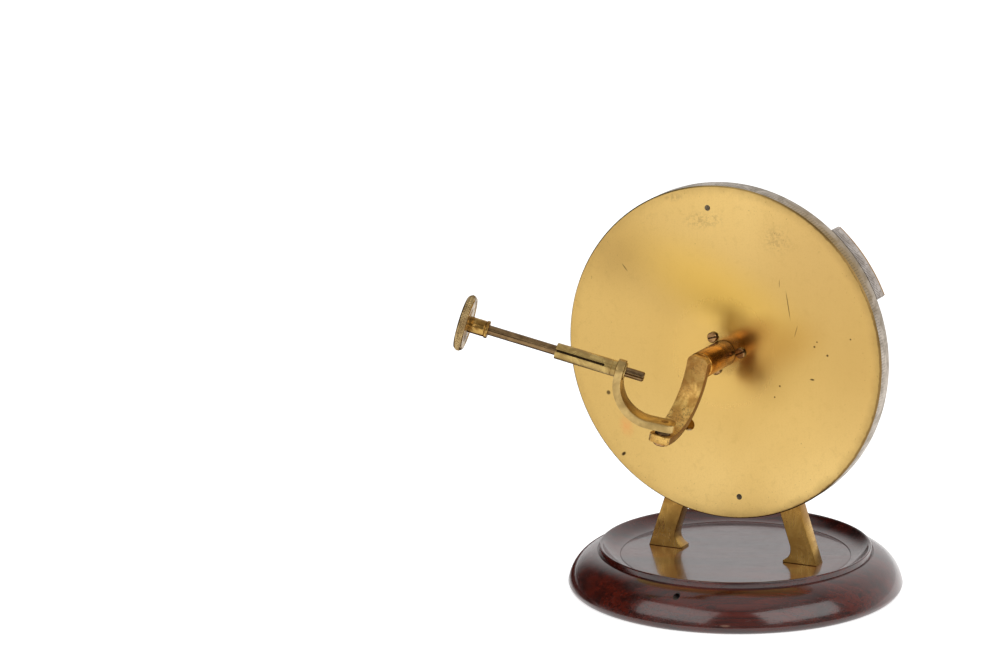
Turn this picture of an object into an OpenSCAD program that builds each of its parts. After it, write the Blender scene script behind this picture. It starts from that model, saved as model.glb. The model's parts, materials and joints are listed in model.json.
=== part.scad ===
// Crystallographic goniometer: a graduated circle on a horizontal axle, carried by a two-legged
// frame on a turned wooden base. A second axle runs through the first one and carries the crystal.
// Origin: middle of the base's underside. +Z is up, -Y is the front, where the crystal is held.

/* [Base] */
// Widest radius of the turned base
base_r = 56.7; // [50:0.1:70]
// Radius of the flat underside
base_under_r = 54.8; // [44:0.1:66]
// Height of the rim above the table
base_h = 15.1; // [12:0.1:24]
// Height of the widest place above the table
base_wide_h = 2.4; // [1:0.1:5]
// Radius of the rim's crest
ridge_r = 45.5; // [42:0.1:48]
// Depth of the small step outside the crest
ridge_step = 2.1; // [0.5:0.1:3.5]
// Width of the small step outside the crest
ridge_step_w = 1.2; // [0.4:0.1:2]
// Swell of the outer moulding past its chord
ovolo_swell = 2.2; // [0.5:0.1:3.5]
// Radius of the dish's flat floor
dish_r = 38.9; // [36:0.1:41]
// Depth of the dish below the rim
dish_depth = 3.5; // [1.5:0.1:5]
// Hollow of the dish's side below its chord
dish_hollow = 0.7; // [0.1:0.1:1.5]

/* [Frame] */
// Height of the circle's axle above the table
axis_h = 84.1; // [76:0.1:100]
// Thickness of the frame plate
frame_t = 5.4; // [3:0.1:6]
// Splay of each leg from upright, in degrees
leg_splay = 18.2; // [15:0.1:19]
// Level width of a leg
leg_w = 7.9; // [6:0.1:10]
// Height above the axle at which the middles of the legs meet
leg_meet = 10; // [8:0.1:14]
// Spread of the foot's inner side past the leg
foot_flare = 4.6; // [2:0.1:5.4]
// Height of the foot's inner curve
foot_flare_h = 6; // [4:0.1:9]
// Height of the foot's square edge
foot_lip = 0.7; // [0.4:0.1:1.2]
// Radius of the round head plate of the frame
head_r = 15; // [14:0.1:17]
// Radius of the axle boss
boss_r = 9; // [8.2:0.1:9.4]
// Reach of the boss in front of the frame plate
boss_front = 3.1; // [2:0.1:3.1]
// Reach of the boss behind the frame plate
boss_back = 10.8; // [9:0.1:16]

/* [Bearing] */
// Outer diameter of the bearing bush
bush_d = 12; // [11:0.1:13]
// Thickness of the bush's back flange
bush_flange_t = 1.2; // [0.8:0.1:2]
// Diameter of the bush's back flange
bush_flange_d = 15; // [13.5:0.1:17]
// Outer diameter of the hollow axle
hollow_axle_d = 9; // [8:0.1:9.8]
// Diameter of the inner axle
inner_axle_d = 4; // [3:0.1:4.6]
// Running clearance between turned pieces, on the radius
run_gap = 0.04; // [0.02:0.01:0.08]
// Clearance between pieces that are pressed or screwed together
fit_gap = 0.01; // [0.005:0.005:0.02]
// Clearance between faces that pass each other
face_gap = 0.3; // [0.2:0.05:0.4]

/* [Circle] */
// Radius of the circle
circle_r = 57; // [54:0.1:62]
// Distance of the circle's face in front of the frame plate
face_f = 7.9; // [7.6:0.1:10]
// Thickness of the circle plate
plate_t = 2.2; // [1.8:0.1:2.4]
// Depth of the whole rim from the face
rim_w = 6.7; // [5:0.1:6.9]
// Wall of the brass rim behind the plate
rim_t = 1.8; // [1.2:0.1:3]
// Thickness of the silvered scale band
band_t = 0.8; // [0.5:0.05:1]
// Bevel round the face
face_bevel = 0.4; // [0.3:0.05:1]
// Diameter of the through hole in the plate
plate_hole_d = 4.4; // [3:0.1:6]
// Distance of the through hole from the axle
plate_hole_r = 29; // [24:0.5:40]
// Place of the through hole round the axle, in degrees
plate_hole_at = 244; // [235:1:255]
// Diameter of the stop pins
stop_pin_d = 2; // [1.4:0.1:2.4]
// Distance of the stop pins from the axle
stop_pin_r = 49.5; // [47:0.1:51]
// Place of the first stop pin round the axle, in degrees
stop_pin_at = 97; // [90:1:105]
// Length of a stop pin behind the plate
stop_pin_l = 3.6; // [2:0.1:3.8]
// Diameter of the hollow axle's flange
hub_d = 21; // [18:0.5:26]
// Thickness of the hollow axle's flange
hub_t = 2.4; // [1.8:0.1:2.4]
// Distance of the hub screws from the axle
hub_screw_r = 6.4; // [6.4:0.1:7.4]
// Diameter of a hub screw's head
hub_screw_d = 3.5; // [3:0.1:3.6]
// Place of the first hub screw round the axle, in degrees
hub_screw_at = 127; // [110:1:140]
// Number of hub screws
hub_screws_n = 3; // [3:1:4]

/* [Vernier] */
// Middle of the vernier round the axle, in degrees
vernier_at = 37; // [30:1:60]
// Width of the vernier in degrees
vernier_span = 28; // [20:1:36]
// Length of the vernier's face along the axle
vernier_w = 5.7; // [4:0.1:5.8]
// Thickness of the vernier's silvered plate
vernier_t = 1; // [0.6:0.1:1.4]
// Width of the vernier arm
vernier_arm_w = 8; // [6:0.1:12]
// Thickness of the vernier arm
vernier_arm_t = 2.2; // [1.6:0.1:3]
// Wall of the vernier's bracket
bracket_t = 2; // [1.5:0.1:3]
// Width of the bracket's web behind the rim
bracket_web_w = 7; // [5:0.1:12]

/* [Turning heads] */
// Diameter of the milled head that turns the circle
circle_head_d = 38; // [30:0.5:46]
// Thickness of the circle's milled head
circle_head_t = 6.5; // [5:0.1:9]
// Diameter of the milled head that turns the crystal
axle_head_d = 25; // [18:0.5:30]
// Thickness of the crystal axle's milled head
axle_head_t = 5.5; // [4:0.1:7]
// Diameter of the ring nut behind the circle's milled head
ring_nut_d = 13; // [11:0.1:16]
// Thickness of the ring nut
ring_nut_t = 2.6; // [2:0.1:4]
// Diameter of the hollow axle where the ring nut sits
nut_seat_d = 7; // [6.4:0.1:7.6]
// Swell of every milled rim past its edges
milled_swell = 0.5; // [0.2:0.05:0.8]
// Bevel at the edges of every milled rim
milled_bevel = 0.5; // [0.3:0.05:0.7]
// Diameter of the screw head behind the crystal axle's milled head
end_screw_d = 6.4; // [5:0.1:8]

/* [Crystal carrier] */
// Length of the spindle in front of the circle's face
spindle_l = 19.1; // [14:0.1:26]
// Diameter of the spindle
spindle_d = 9; // [8:0.1:9.2]
// Depth to which the inner axle enters the spindle
spindle_bore_l = 12; // [8:0.5:13]
// Tilt of the arms round the axle, in degrees
arm_tilt = 11; // [0:0.5:30]
// Width of the inner arm
inner_arm_w = 7.5; // [7:0.1:9]
// Thickness of the inner arm
inner_arm_t = 2.6; // [2:0.1:3]
// Radius of the inner arm's inner side, round the crystal
inner_arm_r = 18.7; // [18.6:0.1:24]
// Rounding of the inner arm's ends
arm_end_r = 2.3; // [1:0.1:3.4]
// Thickness of the washer between the arms
pivot_washer_t = 1.6; // [1:0.1:2.2]
// Diameter of the washer between the arms
pivot_washer_d = 5.2; // [3.8:0.1:6]
// Diameter of the pivot screw's shank
pivot_d = 2.6; // [2:0.1:3]
// Diameter of the pivot screw's head
pivot_head_d = 5; // [4:0.1:6]
// Height of the pivot screw's head
pivot_head_h = 1.2; // [1:0.1:2]
// Swing of the outer arm as shown, in degrees from straight ahead
arm_swing = 74.5; // [70:0.5:84]
// Width of the outer arm
outer_arm_w = 7.2; // [7:0.1:9]
// Thickness of the outer arm
outer_arm_t = 2.6; // [2:0.1:3]
// Distance of the outer arm's inner side from the crystal at the pin
outer_arm_reach = 16.2; // [14.4:0.1:17]
// Length of the outer arm's straight part above the pin
outer_arm_straight = 1.5; // [0.5:0.1:4]
// Lean of the crystal pin against the outer arm's swing, in degrees
pin_lean = 4.5; // [0:0.5:6]
// Distance of the pin's line from the crystal's middle at the eye, towards the pivot
pin_sink = 0.4; // [0:0.1:1.5]

/* [Crystal pin] */
// Outer diameter of the split sleeve
sleeve_d = 5.4; // [4.8:0.1:6]
// Length of the sleeve outside the outer arm
sleeve_l = 20.8; // [18:0.1:26]
// Diameter of the sleeve where it turns in the outer arm's eye
sleeve_neck_d = 4.6; // [4.4:0.1:4.7]
// Diameter of the sleeve's lip inside the outer arm
sleeve_lip_d = 5.8; // [5.4:0.1:6.8]
// Thickness of the sleeve's lip inside the outer arm
sleeve_lip_t = 0.4; // [0.4:0.1:1]
// End play of the sleeve in the outer arm's eye, on each side
sleeve_play = 0.1; // [0.05:0.05:0.2]
// Length of the saw cut in the sleeve
sleeve_cut_l = 16.8; // [8:0.1:17]
// Width of the saw cut in the sleeve
sleeve_cut_w = 0.8; // [0.4:0.1:1.2]
// Diameter of the crystal pin
pin_d = 3.3; // [2.6:0.1:3.6]
// Distance of the pin's tip from the crystal, as shown
pin_tip_gap = 9.4; // [9:0.1:12]
// Distance of the boss from the tip
pin_l = 53.5; // [48:0.1:58]
// Width of the cut in the pin's tip
tip_cut_w = 0.5; // [0.3:0.1:0.8]
// Depth of the cut in the pin's tip
tip_cut_l = 7.5; // [4:0.1:10]
// Diameter of the knob's boss
knob_boss_d = 5.4; // [4.4:0.1:6.4]
// Length of the knob's boss with its bead
knob_boss_l = 6.7; // [4:0.1:8]
// Diameter of the bead on the boss
bead_d = 5.9; // [5.4:0.1:7.4]
// Width of the bead
bead_w = 1.2; // [0.8:0.1:1.6]
// Diameter of the pin's milled knob
knob_d = 19.2; // [14:0.1:20]
// Thickness of the pin's milled knob
knob_t = 2.8; // [2.6:0.1:4]

/* [Stop lever] */
// Place of the lever's screw along the leg, below the axle
lever_drop = 33; // [30:0.5:36]
// Length of the lever from its screw to its peg
lever_l = 15; // [14:0.1:16]
// Rest position of the lever below level, in degrees
lever_rest = 5; // [0:1:8]
// Thickness of the lever
lever_t = 2; // [1.5:0.1:2.5]
// Width of the lever's eye and tail
lever_w = 6; // [5:0.1:7]
// Diameter of the lever's peg
peg_d = 2.4; // [2:0.1:3]

/* [Hidden] */
$fn = 96;

// Colours of the real pieces
brass = [0.80, 0.64, 0.34];
dull_brass = [0.62, 0.52, 0.33];
orange_brass = [0.72, 0.45, 0.14];
silvered = [0.60, 0.57, 0.53];
steel = [0.42, 0.38, 0.38];
mahogany = [0.27, 0.07, 0.04];

// How far a cutting shape runs past the face it cuts
over = 1;
// Heights of the dish floor and of the legs' meeting place
floor_h = base_h - dish_depth;
meet_h = axis_h + leg_meet;
leg_slope = tan(leg_splay);
// Screws from below into the feet
foot_screw_d = 2.6;
foot_head_d = 5.4;
foot_head_h = 1.9;
foot_washer_d = 6.4;
foot_washer_t = 0.7;
foot_hole_d = 7;
foot_seat_t = 7.2;
foot_hole_h = floor_h - foot_seat_t;
foot_screw_grip = 5;
foot_outer_x = (meet_h - floor_h) * leg_slope + leg_w / 2;
foot_inner_x = foot_outer_x - leg_w - foot_flare;
foot_screw_x = (foot_outer_x + foot_inner_x) / 2;
// Distances in front of the frame plate's front face
plate_back_f = face_f - plate_t;
rim_back_f = face_f - rim_w;
bevel_f = face_f - face_bevel;
boss_back_f = -frame_t - boss_back;
bush_back_f = boss_back_f - bush_flange_t;
circle_head_f = bush_back_f - face_gap;
circle_head_back_f = circle_head_f - circle_head_t;
ring_nut_back_f = circle_head_back_f - ring_nut_t;
axle_head_f = ring_nut_back_f - face_gap;
axle_head_back_f = axle_head_f - axle_head_t;
spindle_back_f = face_f + face_gap;
spindle_end_f = face_f + spindle_l;
spindle_tenon_d = 5;
spindle_tenon_l = inner_arm_t - 0.8;
crystal_f = spindle_end_f + inner_arm_t + inner_arm_r;
// Sizes that follow from others
band_r = circle_r - band_t;
rim_in_r = band_r - rim_t;
small_screw_d = 1.8;
hub_screw_head_h = 1.2;
hub_screw_grip = plate_t + hub_t - 0.4;
vernier_front_f = rim_back_f - face_gap;
vernier_back_f = vernier_front_f - vernier_w;
vernier_arm_f = -frame_t;
vernier_arm_back_f = vernier_arm_f - vernier_arm_t;
vernier_in_r = circle_r - vernier_t;
bracket_web_r = vernier_in_r - bracket_web_w;
vernier_screw_r = (head_r + boss_r) / 2;
vernier_screw_grip = 3;
outer_arm_drop = inner_arm_r - pivot_washer_t - outer_arm_t;
eye_mid_x = outer_arm_reach + outer_arm_t / 2;
bend_seam = 0.01;
seam_turn = 1.5;
outer_arm_bend = (outer_arm_drop - pin_sink - sin(pin_lean) * outer_arm_t / 2
    - outer_arm_straight * cos(pin_lean)) / (1 + sin(pin_lean));
sleeve_lip_x = outer_arm_reach - sleeve_play;
sleeve_in_x = sleeve_lip_x - sleeve_lip_t;
sleeve_step_x = outer_arm_reach + outer_arm_t + sleeve_play;
sleeve_out_x = sleeve_step_x + sleeve_l;
boss_in_x = pin_tip_gap + pin_l;
knob_in_x = boss_in_x + knob_boss_l;
pin_grip = 2;
washer_seat_h = 0.5;
lever_screw_d = 2.4;
lever_head_d = 5;
lever_head_h = 1.4;
lever_screw_grip = 3.2;
lever_pivot_x = (leg_meet + lever_drop) * leg_slope;
lever_f = -frame_t - face_gap / 2;
peg_front_f = plate_back_f - 1.4;

// Points of an arc from p to q. It swells by sag to the right of the way from p to q.
function arc_to(p, q, sag, n = 12) =
    let (chord = norm(q - p),
        r = (chord * chord / 4 + sag * sag) / (2 * abs(sag)),
        side = sign(sag) * [q[1] - p[1], p[0] - q[0]] / chord,
        c = (p + q) / 2 - side * (r - abs(sag)),
        a = atan2(p[1] - c[1], p[0] - c[0]),
        b = atan2(q[1] - c[1], q[0] - c[0]),
        turn = b - a > 180 ? b - a - 360 : b - a < -180 ? b - a + 360 : b - a)
    [for (i = [0:n]) c + r * [cos(a + turn * i / n), sin(a + turn * i / n)]];

// Places children on the circle's axle, with their +Z to the front and 0 at the frame's front
module on_axle() {
    translate([0, -frame_t / 2, axis_h])
        rotate([90, 0, 0])
            children();
}

// Places children round the crystal: +X to the left as shown, +Y to the circle, +Z to the pivot
module at_crystal() {
    translate([0, -frame_t / 2 - crystal_f, axis_h])
        rotate([0, 180 + arm_tilt, 0])
            children();
}

// Places children on the outer arm: +X along the crystal pin, away from the crystal
module at_pin() {
    at_crystal()
        rotate([0, 0, arm_swing - 90])
            children();
}

// Places children on the crystal pin's own line, with +X along it and the eye where it was
module at_rod() {
    at_pin()
        translate([eye_mid_x, 0, pin_sink])
            rotate([0, pin_lean, 0])
                translate([-eye_mid_x, 0, 0])
                    children();
}

// A tube or rod between two distances in front of the frame
module turned(d, from_f, to_f) {
    translate([0, 0, min(from_f, to_f)])
        cylinder(d = d, h = abs(to_f - from_f));
}

// A rod along X
module rod_x(d, from_x, to_x) {
    translate([from_x, 0, 0])
        rotate([0, 90, 0])
            cylinder(d = d, h = to_x - from_x);
}

// A slotted cheese head with its shank, head on +Z, seat at 0
module slotted_screw(head_d, head_h, shank_d, shank_l, slot_turn = 0) {
    slot_w = head_d * 0.16;
    slot_h = head_h * 0.45;
    edge = head_h * 0.22;
    difference() {
        union() {
            cylinder(d = head_d, h = head_h - edge);
            translate([0, 0, head_h - edge])
                cylinder(d1 = head_d, d2 = head_d - 2 * edge, h = edge);
            translate([0, 0, -shank_l])
                cylinder(d = shank_d, h = shank_l);
        }
        rotate([0, 0, slot_turn])
            translate([-head_d, -slot_w / 2, head_h - slot_h])
                cube([2 * head_d, slot_w, slot_h + over]);
    }
}

// A milled head with a swelling rim, lying from 0 to t along +Z
module milled_head(d, t) {
    edge_r = d / 2 - milled_swell;
    rotate_extrude()
        polygon(concat(
            [[0, 0], [edge_r - milled_bevel, 0]],
            arc_to([edge_r, milled_bevel], [edge_r, t - milled_bevel], milled_swell, 8),
            [[edge_r - milled_bevel, t], [0, t]]));
}

// A flat strip from half its width behind 0 to l along +X, with two rounded corners at its end
module cornered_strip(l, w) {
    translate([arm_end_r - w / 2, -w / 2])
        square([l + w / 2 - arm_end_r, w]);
    translate([-w / 2, arm_end_r - w / 2])
        square([w, w - 2 * arm_end_r]);
    for (side = [-1, 1])
        translate([arm_end_r - w / 2, side * (w / 2 - arm_end_r)])
            circle(r = arm_end_r);
}

// A flat strip from 0 to l along +X, with a half round end about 0
module round_strip(l, w) {
    circle(d = w);
    translate([0, -w / 2])
        square([l, w]);
}

// The bend of a strip, round a centre at x, z, from +X to +Z, and on past +Z by a few degrees
module strip_bend(x, z, r, t, w, past = 0) {
    translate([x, 0, z])
        rotate([90, 0, 0])
            rotate_extrude(angle = 90 + past)
                translate([r, -w / 2])
                    square([t, w]);
}

// Half section of the turned base
module base_profile() {
    step_r = ridge_r + ridge_step_w;
    crest = 0.35;
    polygon(concat(
        [[0, 0], [base_under_r, 0]],
        arc_to([base_under_r, 0], [base_r, base_wide_h], 0.4, 5),
        arc_to([base_r, base_wide_h], [step_r, base_h - ridge_step], ovolo_swell, 16),
        [[ridge_r + 2 * crest, base_h - ridge_step],
            [ridge_r + crest, base_h - crest],
            [ridge_r, base_h]],
        arc_to([ridge_r - crest, base_h - crest / 2], [dish_r, floor_h], -dish_hollow, 8),
        [[0, floor_h]]));
}

module base() {
    color(mahogany)
        difference() {
            rotate_extrude()
                base_profile();
            for (side = [-1, 1])
                translate([side * foot_screw_x, 0, 0]) {
                    translate([0, 0, -over])
                        cylinder(d = foot_hole_d, h = foot_hole_h + over);
                    cylinder(d = foot_screw_d + 2 * run_gap, h = floor_h + over);
                }
        }
}

// Outline of the right leg from the dish floor up to the axle, with its hollowed foot
module leg_outline() {
    top = axis_h;
    curve_h = floor_h + foot_flare_h;
    inner_floor = [foot_outer_x - leg_w, floor_h];
    inner_curve = [inner_floor[0] - foot_flare_h * leg_slope, curve_h];
    lip = [foot_inner_x, floor_h + foot_lip];
    middle_top = (meet_h - top) * leg_slope;
    polygon(concat(
        [[foot_outer_x, floor_h], [middle_top + leg_w / 2, top], [middle_top - leg_w / 2, top]],
        arc_to(inner_curve, lip, -1.2, 8),
        [[foot_inner_x, floor_h]]));
}

module frame() {
    color(brass)
        difference() {
            union() {
                translate([0, frame_t / 2, 0])
                    rotate([90, 0, 0])
                        linear_extrude(frame_t) {
                            leg_outline();
                            mirror([1, 0])
                                leg_outline();
                        }
                on_axle() {
                    turned(2 * head_r, -frame_t, 0);
                    turned(2 * boss_r, boss_back_f, boss_front);
                }
            }
            on_axle()
                turned(bush_d + 2 * fit_gap, boss_back_f - over, boss_front + over);
            for (side = [-1, 1])
                translate([side * foot_screw_x, 0, floor_h - over])
                    cylinder(d = foot_screw_d + 2 * fit_gap, h = foot_screw_grip + over);
            on_axle()
                for (side = [-1, 1])
                    rotate([0, 0, vernier_at + side * 90])
                        translate([vernier_screw_r, 0, 0])
                            turned(small_screw_d + 2 * fit_gap, -frame_t - over, vernier_screw_grip - frame_t);
            on_axle()
                translate([lever_pivot_x, -lever_drop, 0])
                    turned(lever_screw_d + 2 * fit_gap, -frame_t - over, lever_screw_grip - frame_t);
        }
}

module foot_screws() {
    color(brass)
        for (side = [-1, 1])
            translate([side * foot_screw_x, 0, foot_hole_h - foot_washer_t])
                rotate([180, 0, side * 25])
                    slotted_screw(foot_head_d, foot_head_h, foot_screw_d,
                        floor_h + foot_screw_grip - foot_hole_h + foot_washer_t - face_gap);
}

module foot_washers() {
    color(dull_brass)
        for (side = [-1, 1])
            translate([side * foot_screw_x, 0, foot_hole_h - foot_washer_t])
                difference() {
                    cylinder(d = foot_washer_d, h = foot_washer_t);
                    translate([0, 0, -over])
                        cylinder(d = foot_screw_d + 2 * run_gap, h = foot_washer_t + 2 * over);
                }
}

module bearing_bush() {
    color(orange_brass)
        on_axle()
            difference() {
                union() {
                    turned(bush_d, boss_back_f, boss_front);
                    turned(bush_flange_d, bush_back_f, boss_back_f);
                }
                turned(hollow_axle_d + 2 * run_gap, bush_back_f - over, boss_front + over);
            }
}

// Sweeps an outline of radius and distance in front of the frame over the vernier's sector
module vernier_sector() {
    rotate([0, 0, vernier_at - vernier_span / 2])
        rotate_extrude(angle = vernier_span)
            children();
}

module vernier_arm() {
    color(brass)
        on_axle()
            difference() {
                union() {
                    turned(2 * head_r, vernier_arm_back_f, vernier_arm_f);
                    rotate([0, 0, vernier_at])
                        translate([vernier_screw_r, -vernier_arm_w / 2, vernier_arm_back_f])
                            cube([bracket_web_r + bracket_t - vernier_screw_r, vernier_arm_w,
                                vernier_arm_t]);
                    vernier_sector()
                        polygon([[bracket_web_r, vernier_arm_back_f],
                            [vernier_in_r, vernier_arm_back_f],
                            [vernier_in_r, vernier_front_f],
                            [vernier_in_r - bracket_t, vernier_front_f],
                            [vernier_in_r - bracket_t, vernier_arm_f],
                            [bracket_web_r, vernier_arm_f]]);
                }
                turned(2 * (boss_r + run_gap), vernier_arm_back_f - over, vernier_arm_f + over);
                for (side = [-1, 1])
                    rotate([0, 0, vernier_at + side * 90])
                        translate([vernier_screw_r, 0, 0])
                            turned(small_screw_d + 2 * run_gap, vernier_arm_back_f - over, over);
            }
}

module vernier_screws() {
    color(steel)
        on_axle()
            for (side = [-1, 1])
                rotate([0, 0, vernier_at + side * 90])
                    translate([vernier_screw_r, 0, vernier_arm_back_f])
                        rotate([180, 0, side * 35])
                            slotted_screw(hub_screw_d, hub_screw_head_h, small_screw_d,
                                vernier_arm_t + vernier_screw_grip - face_gap);
}

module vernier_scale() {
    color(silvered)
        on_axle()
            vernier_sector()
                translate([vernier_in_r, vernier_back_f])
                    square([vernier_t, vernier_w]);
}

module stop_lever() {
    peg = lever_l * [cos(lever_rest), -sin(lever_rest)];
    color(brass)
        on_axle()
            translate([lever_pivot_x, -lever_drop, 0])
                difference() {
                    union() {
                        translate([0, 0, lever_f - lever_t])
                            linear_extrude(lever_t) {
                                circle(d = lever_w);
                                translate(peg)
                                    circle(d = lever_w);
                                rotate(-lever_rest)
                                    translate([0, -lever_w / 3])
                                        square([lever_l, lever_w * 2 / 3]);
                            }
                        translate([peg[0], peg[1], 0])
                            turned(peg_d, lever_f - lever_t / 2, peg_front_f);
                    }
                    turned(lever_screw_d + 2 * run_gap, lever_f - lever_t - over, lever_f + over);
                }
}

module stop_lever_screw() {
    color(steel)
        on_axle()
            translate([lever_pivot_x, -lever_drop, lever_f - lever_t - face_gap / 2])
                rotate([180, 0, 50])
                    slotted_screw(lever_head_d, lever_head_h, lever_screw_d,
                        lever_t + face_gap + lever_screw_grip - face_gap);
}

module circle_plate() {
    color(brass)
        on_axle()
            difference() {
                union() {
                    turned(2 * band_r, plate_back_f, bevel_f);
                    translate([0, 0, bevel_f])
                        cylinder(r1 = circle_r, r2 = circle_r - face_bevel, h = face_bevel);
                }
                turned(hollow_axle_d + 2 * fit_gap, plate_back_f - over, face_f + over);
                for (i = [0:hub_screws_n - 1])
                    rotate([0, 0, hub_screw_at + i * 360 / hub_screws_n])
                        translate([hub_screw_r, 0, 0])
                            turned(small_screw_d + 2 * run_gap, plate_back_f - over, face_f + over);
                for (turn = [0, 180])
                    rotate([0, 0, stop_pin_at + turn])
                        translate([stop_pin_r, 0, 0])
                            turned(stop_pin_d + 2 * fit_gap, plate_back_f - over, face_f + over);
                rotate([0, 0, plate_hole_at])
                    translate([plate_hole_r, 0, 0])
                        turned(plate_hole_d, plate_back_f - over, face_f + over);
            }
}

module circle_rim() {
    color(brass)
        on_axle()
            difference() {
                turned(2 * band_r, rim_back_f, plate_back_f);
                turned(2 * rim_in_r, rim_back_f - over, plate_back_f + over);
            }
}

module scale_band() {
    color(silvered)
        on_axle()
            difference() {
                turned(2 * circle_r, rim_back_f, bevel_f);
                turned(2 * band_r, rim_back_f - over, bevel_f + over);
            }
}

module stop_pins() {
    color(steel)
        on_axle()
            for (turn = [0, 180])
                rotate([0, 0, stop_pin_at + turn])
                    translate([stop_pin_r, 0, 0])
                        turned(stop_pin_d, plate_back_f - stop_pin_l, face_f);
}

module hollow_axle() {
    color(dull_brass)
        on_axle()
            difference() {
                union() {
                    turned(hollow_axle_d, circle_head_back_f, face_f);
                    turned(hub_d, plate_back_f - hub_t, plate_back_f);
                    turned(nut_seat_d, ring_nut_back_f, circle_head_back_f);
                }
                turned(inner_axle_d + 2 * run_gap, ring_nut_back_f - over, face_f + over);
                for (i = [0:hub_screws_n - 1])
                    rotate([0, 0, hub_screw_at + i * 360 / hub_screws_n])
                        translate([hub_screw_r, 0, 0])
                            turned(small_screw_d + 2 * fit_gap, face_f - hub_screw_grip - over / 2,
                                plate_back_f + over);
            }
}

module hub_screws() {
    slot_turns = [70, 150, 20, 95];
    color(steel)
        on_axle()
            for (i = [0:hub_screws_n - 1])
                rotate([0, 0, hub_screw_at + i * 360 / hub_screws_n])
                    translate([hub_screw_r, 0, face_f])
                        slotted_screw(hub_screw_d, hub_screw_head_h, small_screw_d, hub_screw_grip,
                            slot_turns[i]);
}

module circle_head() {
    color(dull_brass)
        on_axle()
            difference() {
                translate([0, 0, circle_head_back_f])
                    milled_head(circle_head_d, circle_head_t);
                turned(hollow_axle_d + 2 * fit_gap, circle_head_back_f - over, circle_head_f + over);
            }
}

module ring_nut() {
    color(brass)
        on_axle()
            difference() {
                turned(ring_nut_d, ring_nut_back_f, circle_head_back_f);
                turned(nut_seat_d + 2 * fit_gap, ring_nut_back_f - over, circle_head_back_f + over);
                translate([0, 0, ring_nut_back_f])
                    for (turn = [0, 90])
                        rotate([0, 0, turn])
                            translate([-ring_nut_d, -0.6, -over])
                                cube([2 * ring_nut_d, 1.2, 1 + over]);
            }
}

module inner_axle() {
    color(steel)
        on_axle()
            difference() {
                turned(inner_axle_d, axle_head_back_f, face_f + face_gap + spindle_bore_l);
                turned(small_screw_d + 2 * fit_gap, axle_head_back_f - over, axle_head_f);
            }
}

module spindle() {
    edge = 0.3;
    color(orange_brass)
        on_axle()
            difference() {
                union() {
                    turned(spindle_d, spindle_back_f, spindle_end_f - edge);
                    translate([0, 0, spindle_end_f - edge])
                        cylinder(d1 = spindle_d, d2 = spindle_d - 2 * edge, h = edge);
                    turned(spindle_tenon_d, spindle_end_f - edge, spindle_end_f + spindle_tenon_l);
                }
                turned(inner_axle_d + 2 * fit_gap, spindle_back_f - over,
                    spindle_back_f + spindle_bore_l + fit_gap);
            }
}

module inner_arm() {
    color(brass)
        difference() {
            at_crystal()
                difference() {
                    rotate([0, 0, 90]) {
                        strip_bend(0, 0, inner_arm_r, inner_arm_t, inner_arm_w);
                        translate([0, 0, inner_arm_r])
                            linear_extrude(inner_arm_t)
                                cornered_strip(0, inner_arm_w);
                        translate([inner_arm_r + inner_arm_t, 0, 0])
                            rotate([0, -90, 0])
                                linear_extrude(inner_arm_t)
                                    cornered_strip(0, inner_arm_w);
                    }
                    cylinder(d = pivot_d + 2 * run_gap, h = inner_arm_r + inner_arm_t + over);
                    translate([0, 0, inner_arm_r - washer_seat_h])
                        cylinder(d = pivot_washer_d + 2 * run_gap, h = washer_seat_h);
                }
            on_axle()
                turned(spindle_tenon_d + 2 * fit_gap, spindle_end_f - over,
                    spindle_end_f + spindle_tenon_l + fit_gap);
        }
}

module pivot_washer() {
    color(brass)
        at_crystal()
            translate([0, 0, outer_arm_drop + outer_arm_t])
                difference() {
                    cylinder(d = pivot_washer_d, h = pivot_washer_t);
                    translate([0, 0, -over])
                        cylinder(d = pivot_d + 2 * run_gap, h = pivot_washer_t + 2 * over);
                }
}

module axle_head() {
    color(dull_brass)
        on_axle()
            difference() {
                translate([0, 0, axle_head_back_f])
                    milled_head(axle_head_d, axle_head_t);
                turned(inner_axle_d + 2 * fit_gap, axle_head_back_f - over, axle_head_f + over);
            }
}

module axle_head_screw() {
    color(steel)
        on_axle()
            translate([0, 0, axle_head_back_f])
                rotate([180, 0, 30])
                    slotted_screw(end_screw_d, 1.6, small_screw_d, axle_head_t - face_gap);
}

module outer_arm() {
    eye_t = outer_arm_t - 2 * bend_seam;
    eye_w = outer_arm_w - 2 * bend_seam;
    bend_z = outer_arm_drop - outer_arm_bend;
    bend_x = eye_mid_x - (outer_arm_t / 2 + outer_arm_bend - (bend_z - pin_sink) * sin(pin_lean))
        / cos(pin_lean);
    color(dull_brass)
        at_pin()
            difference() {
                union() {
                    translate([0, 0, outer_arm_drop])
                        linear_extrude(outer_arm_t)
                            cornered_strip(bend_x, outer_arm_w);
                    translate([eye_mid_x, 0, pin_sink])
                        rotate([0, pin_lean, 0]) {
                            strip_bend(-outer_arm_t / 2 - outer_arm_bend, outer_arm_straight,
                                outer_arm_bend + bend_seam, eye_t, eye_w, pin_lean + seam_turn);
                            translate([eye_t / 2, 0, 0])
                                rotate([0, -90, 0])
                                    linear_extrude(eye_t)
                                        round_strip(outer_arm_straight, eye_w);
                        }
                }
                translate([eye_mid_x, 0, pin_sink])
                    rotate([0, 90 + pin_lean, 0])
                        translate([0, 0, -outer_arm_t / 2 - over])
                            cylinder(d = sleeve_neck_d + 2 * run_gap, h = outer_arm_t + 2 * over);
                cylinder(d = pivot_d + 2 * fit_gap, h = outer_arm_drop + outer_arm_t + over);
            }
}

module pivot_screw() {
    color(steel)
        at_pin()
            translate([0, 0, inner_arm_r + inner_arm_t])
                slotted_screw(pivot_head_d, pivot_head_h, pivot_d,
                    inner_arm_r + inner_arm_t - outer_arm_drop, 40);
}

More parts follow.
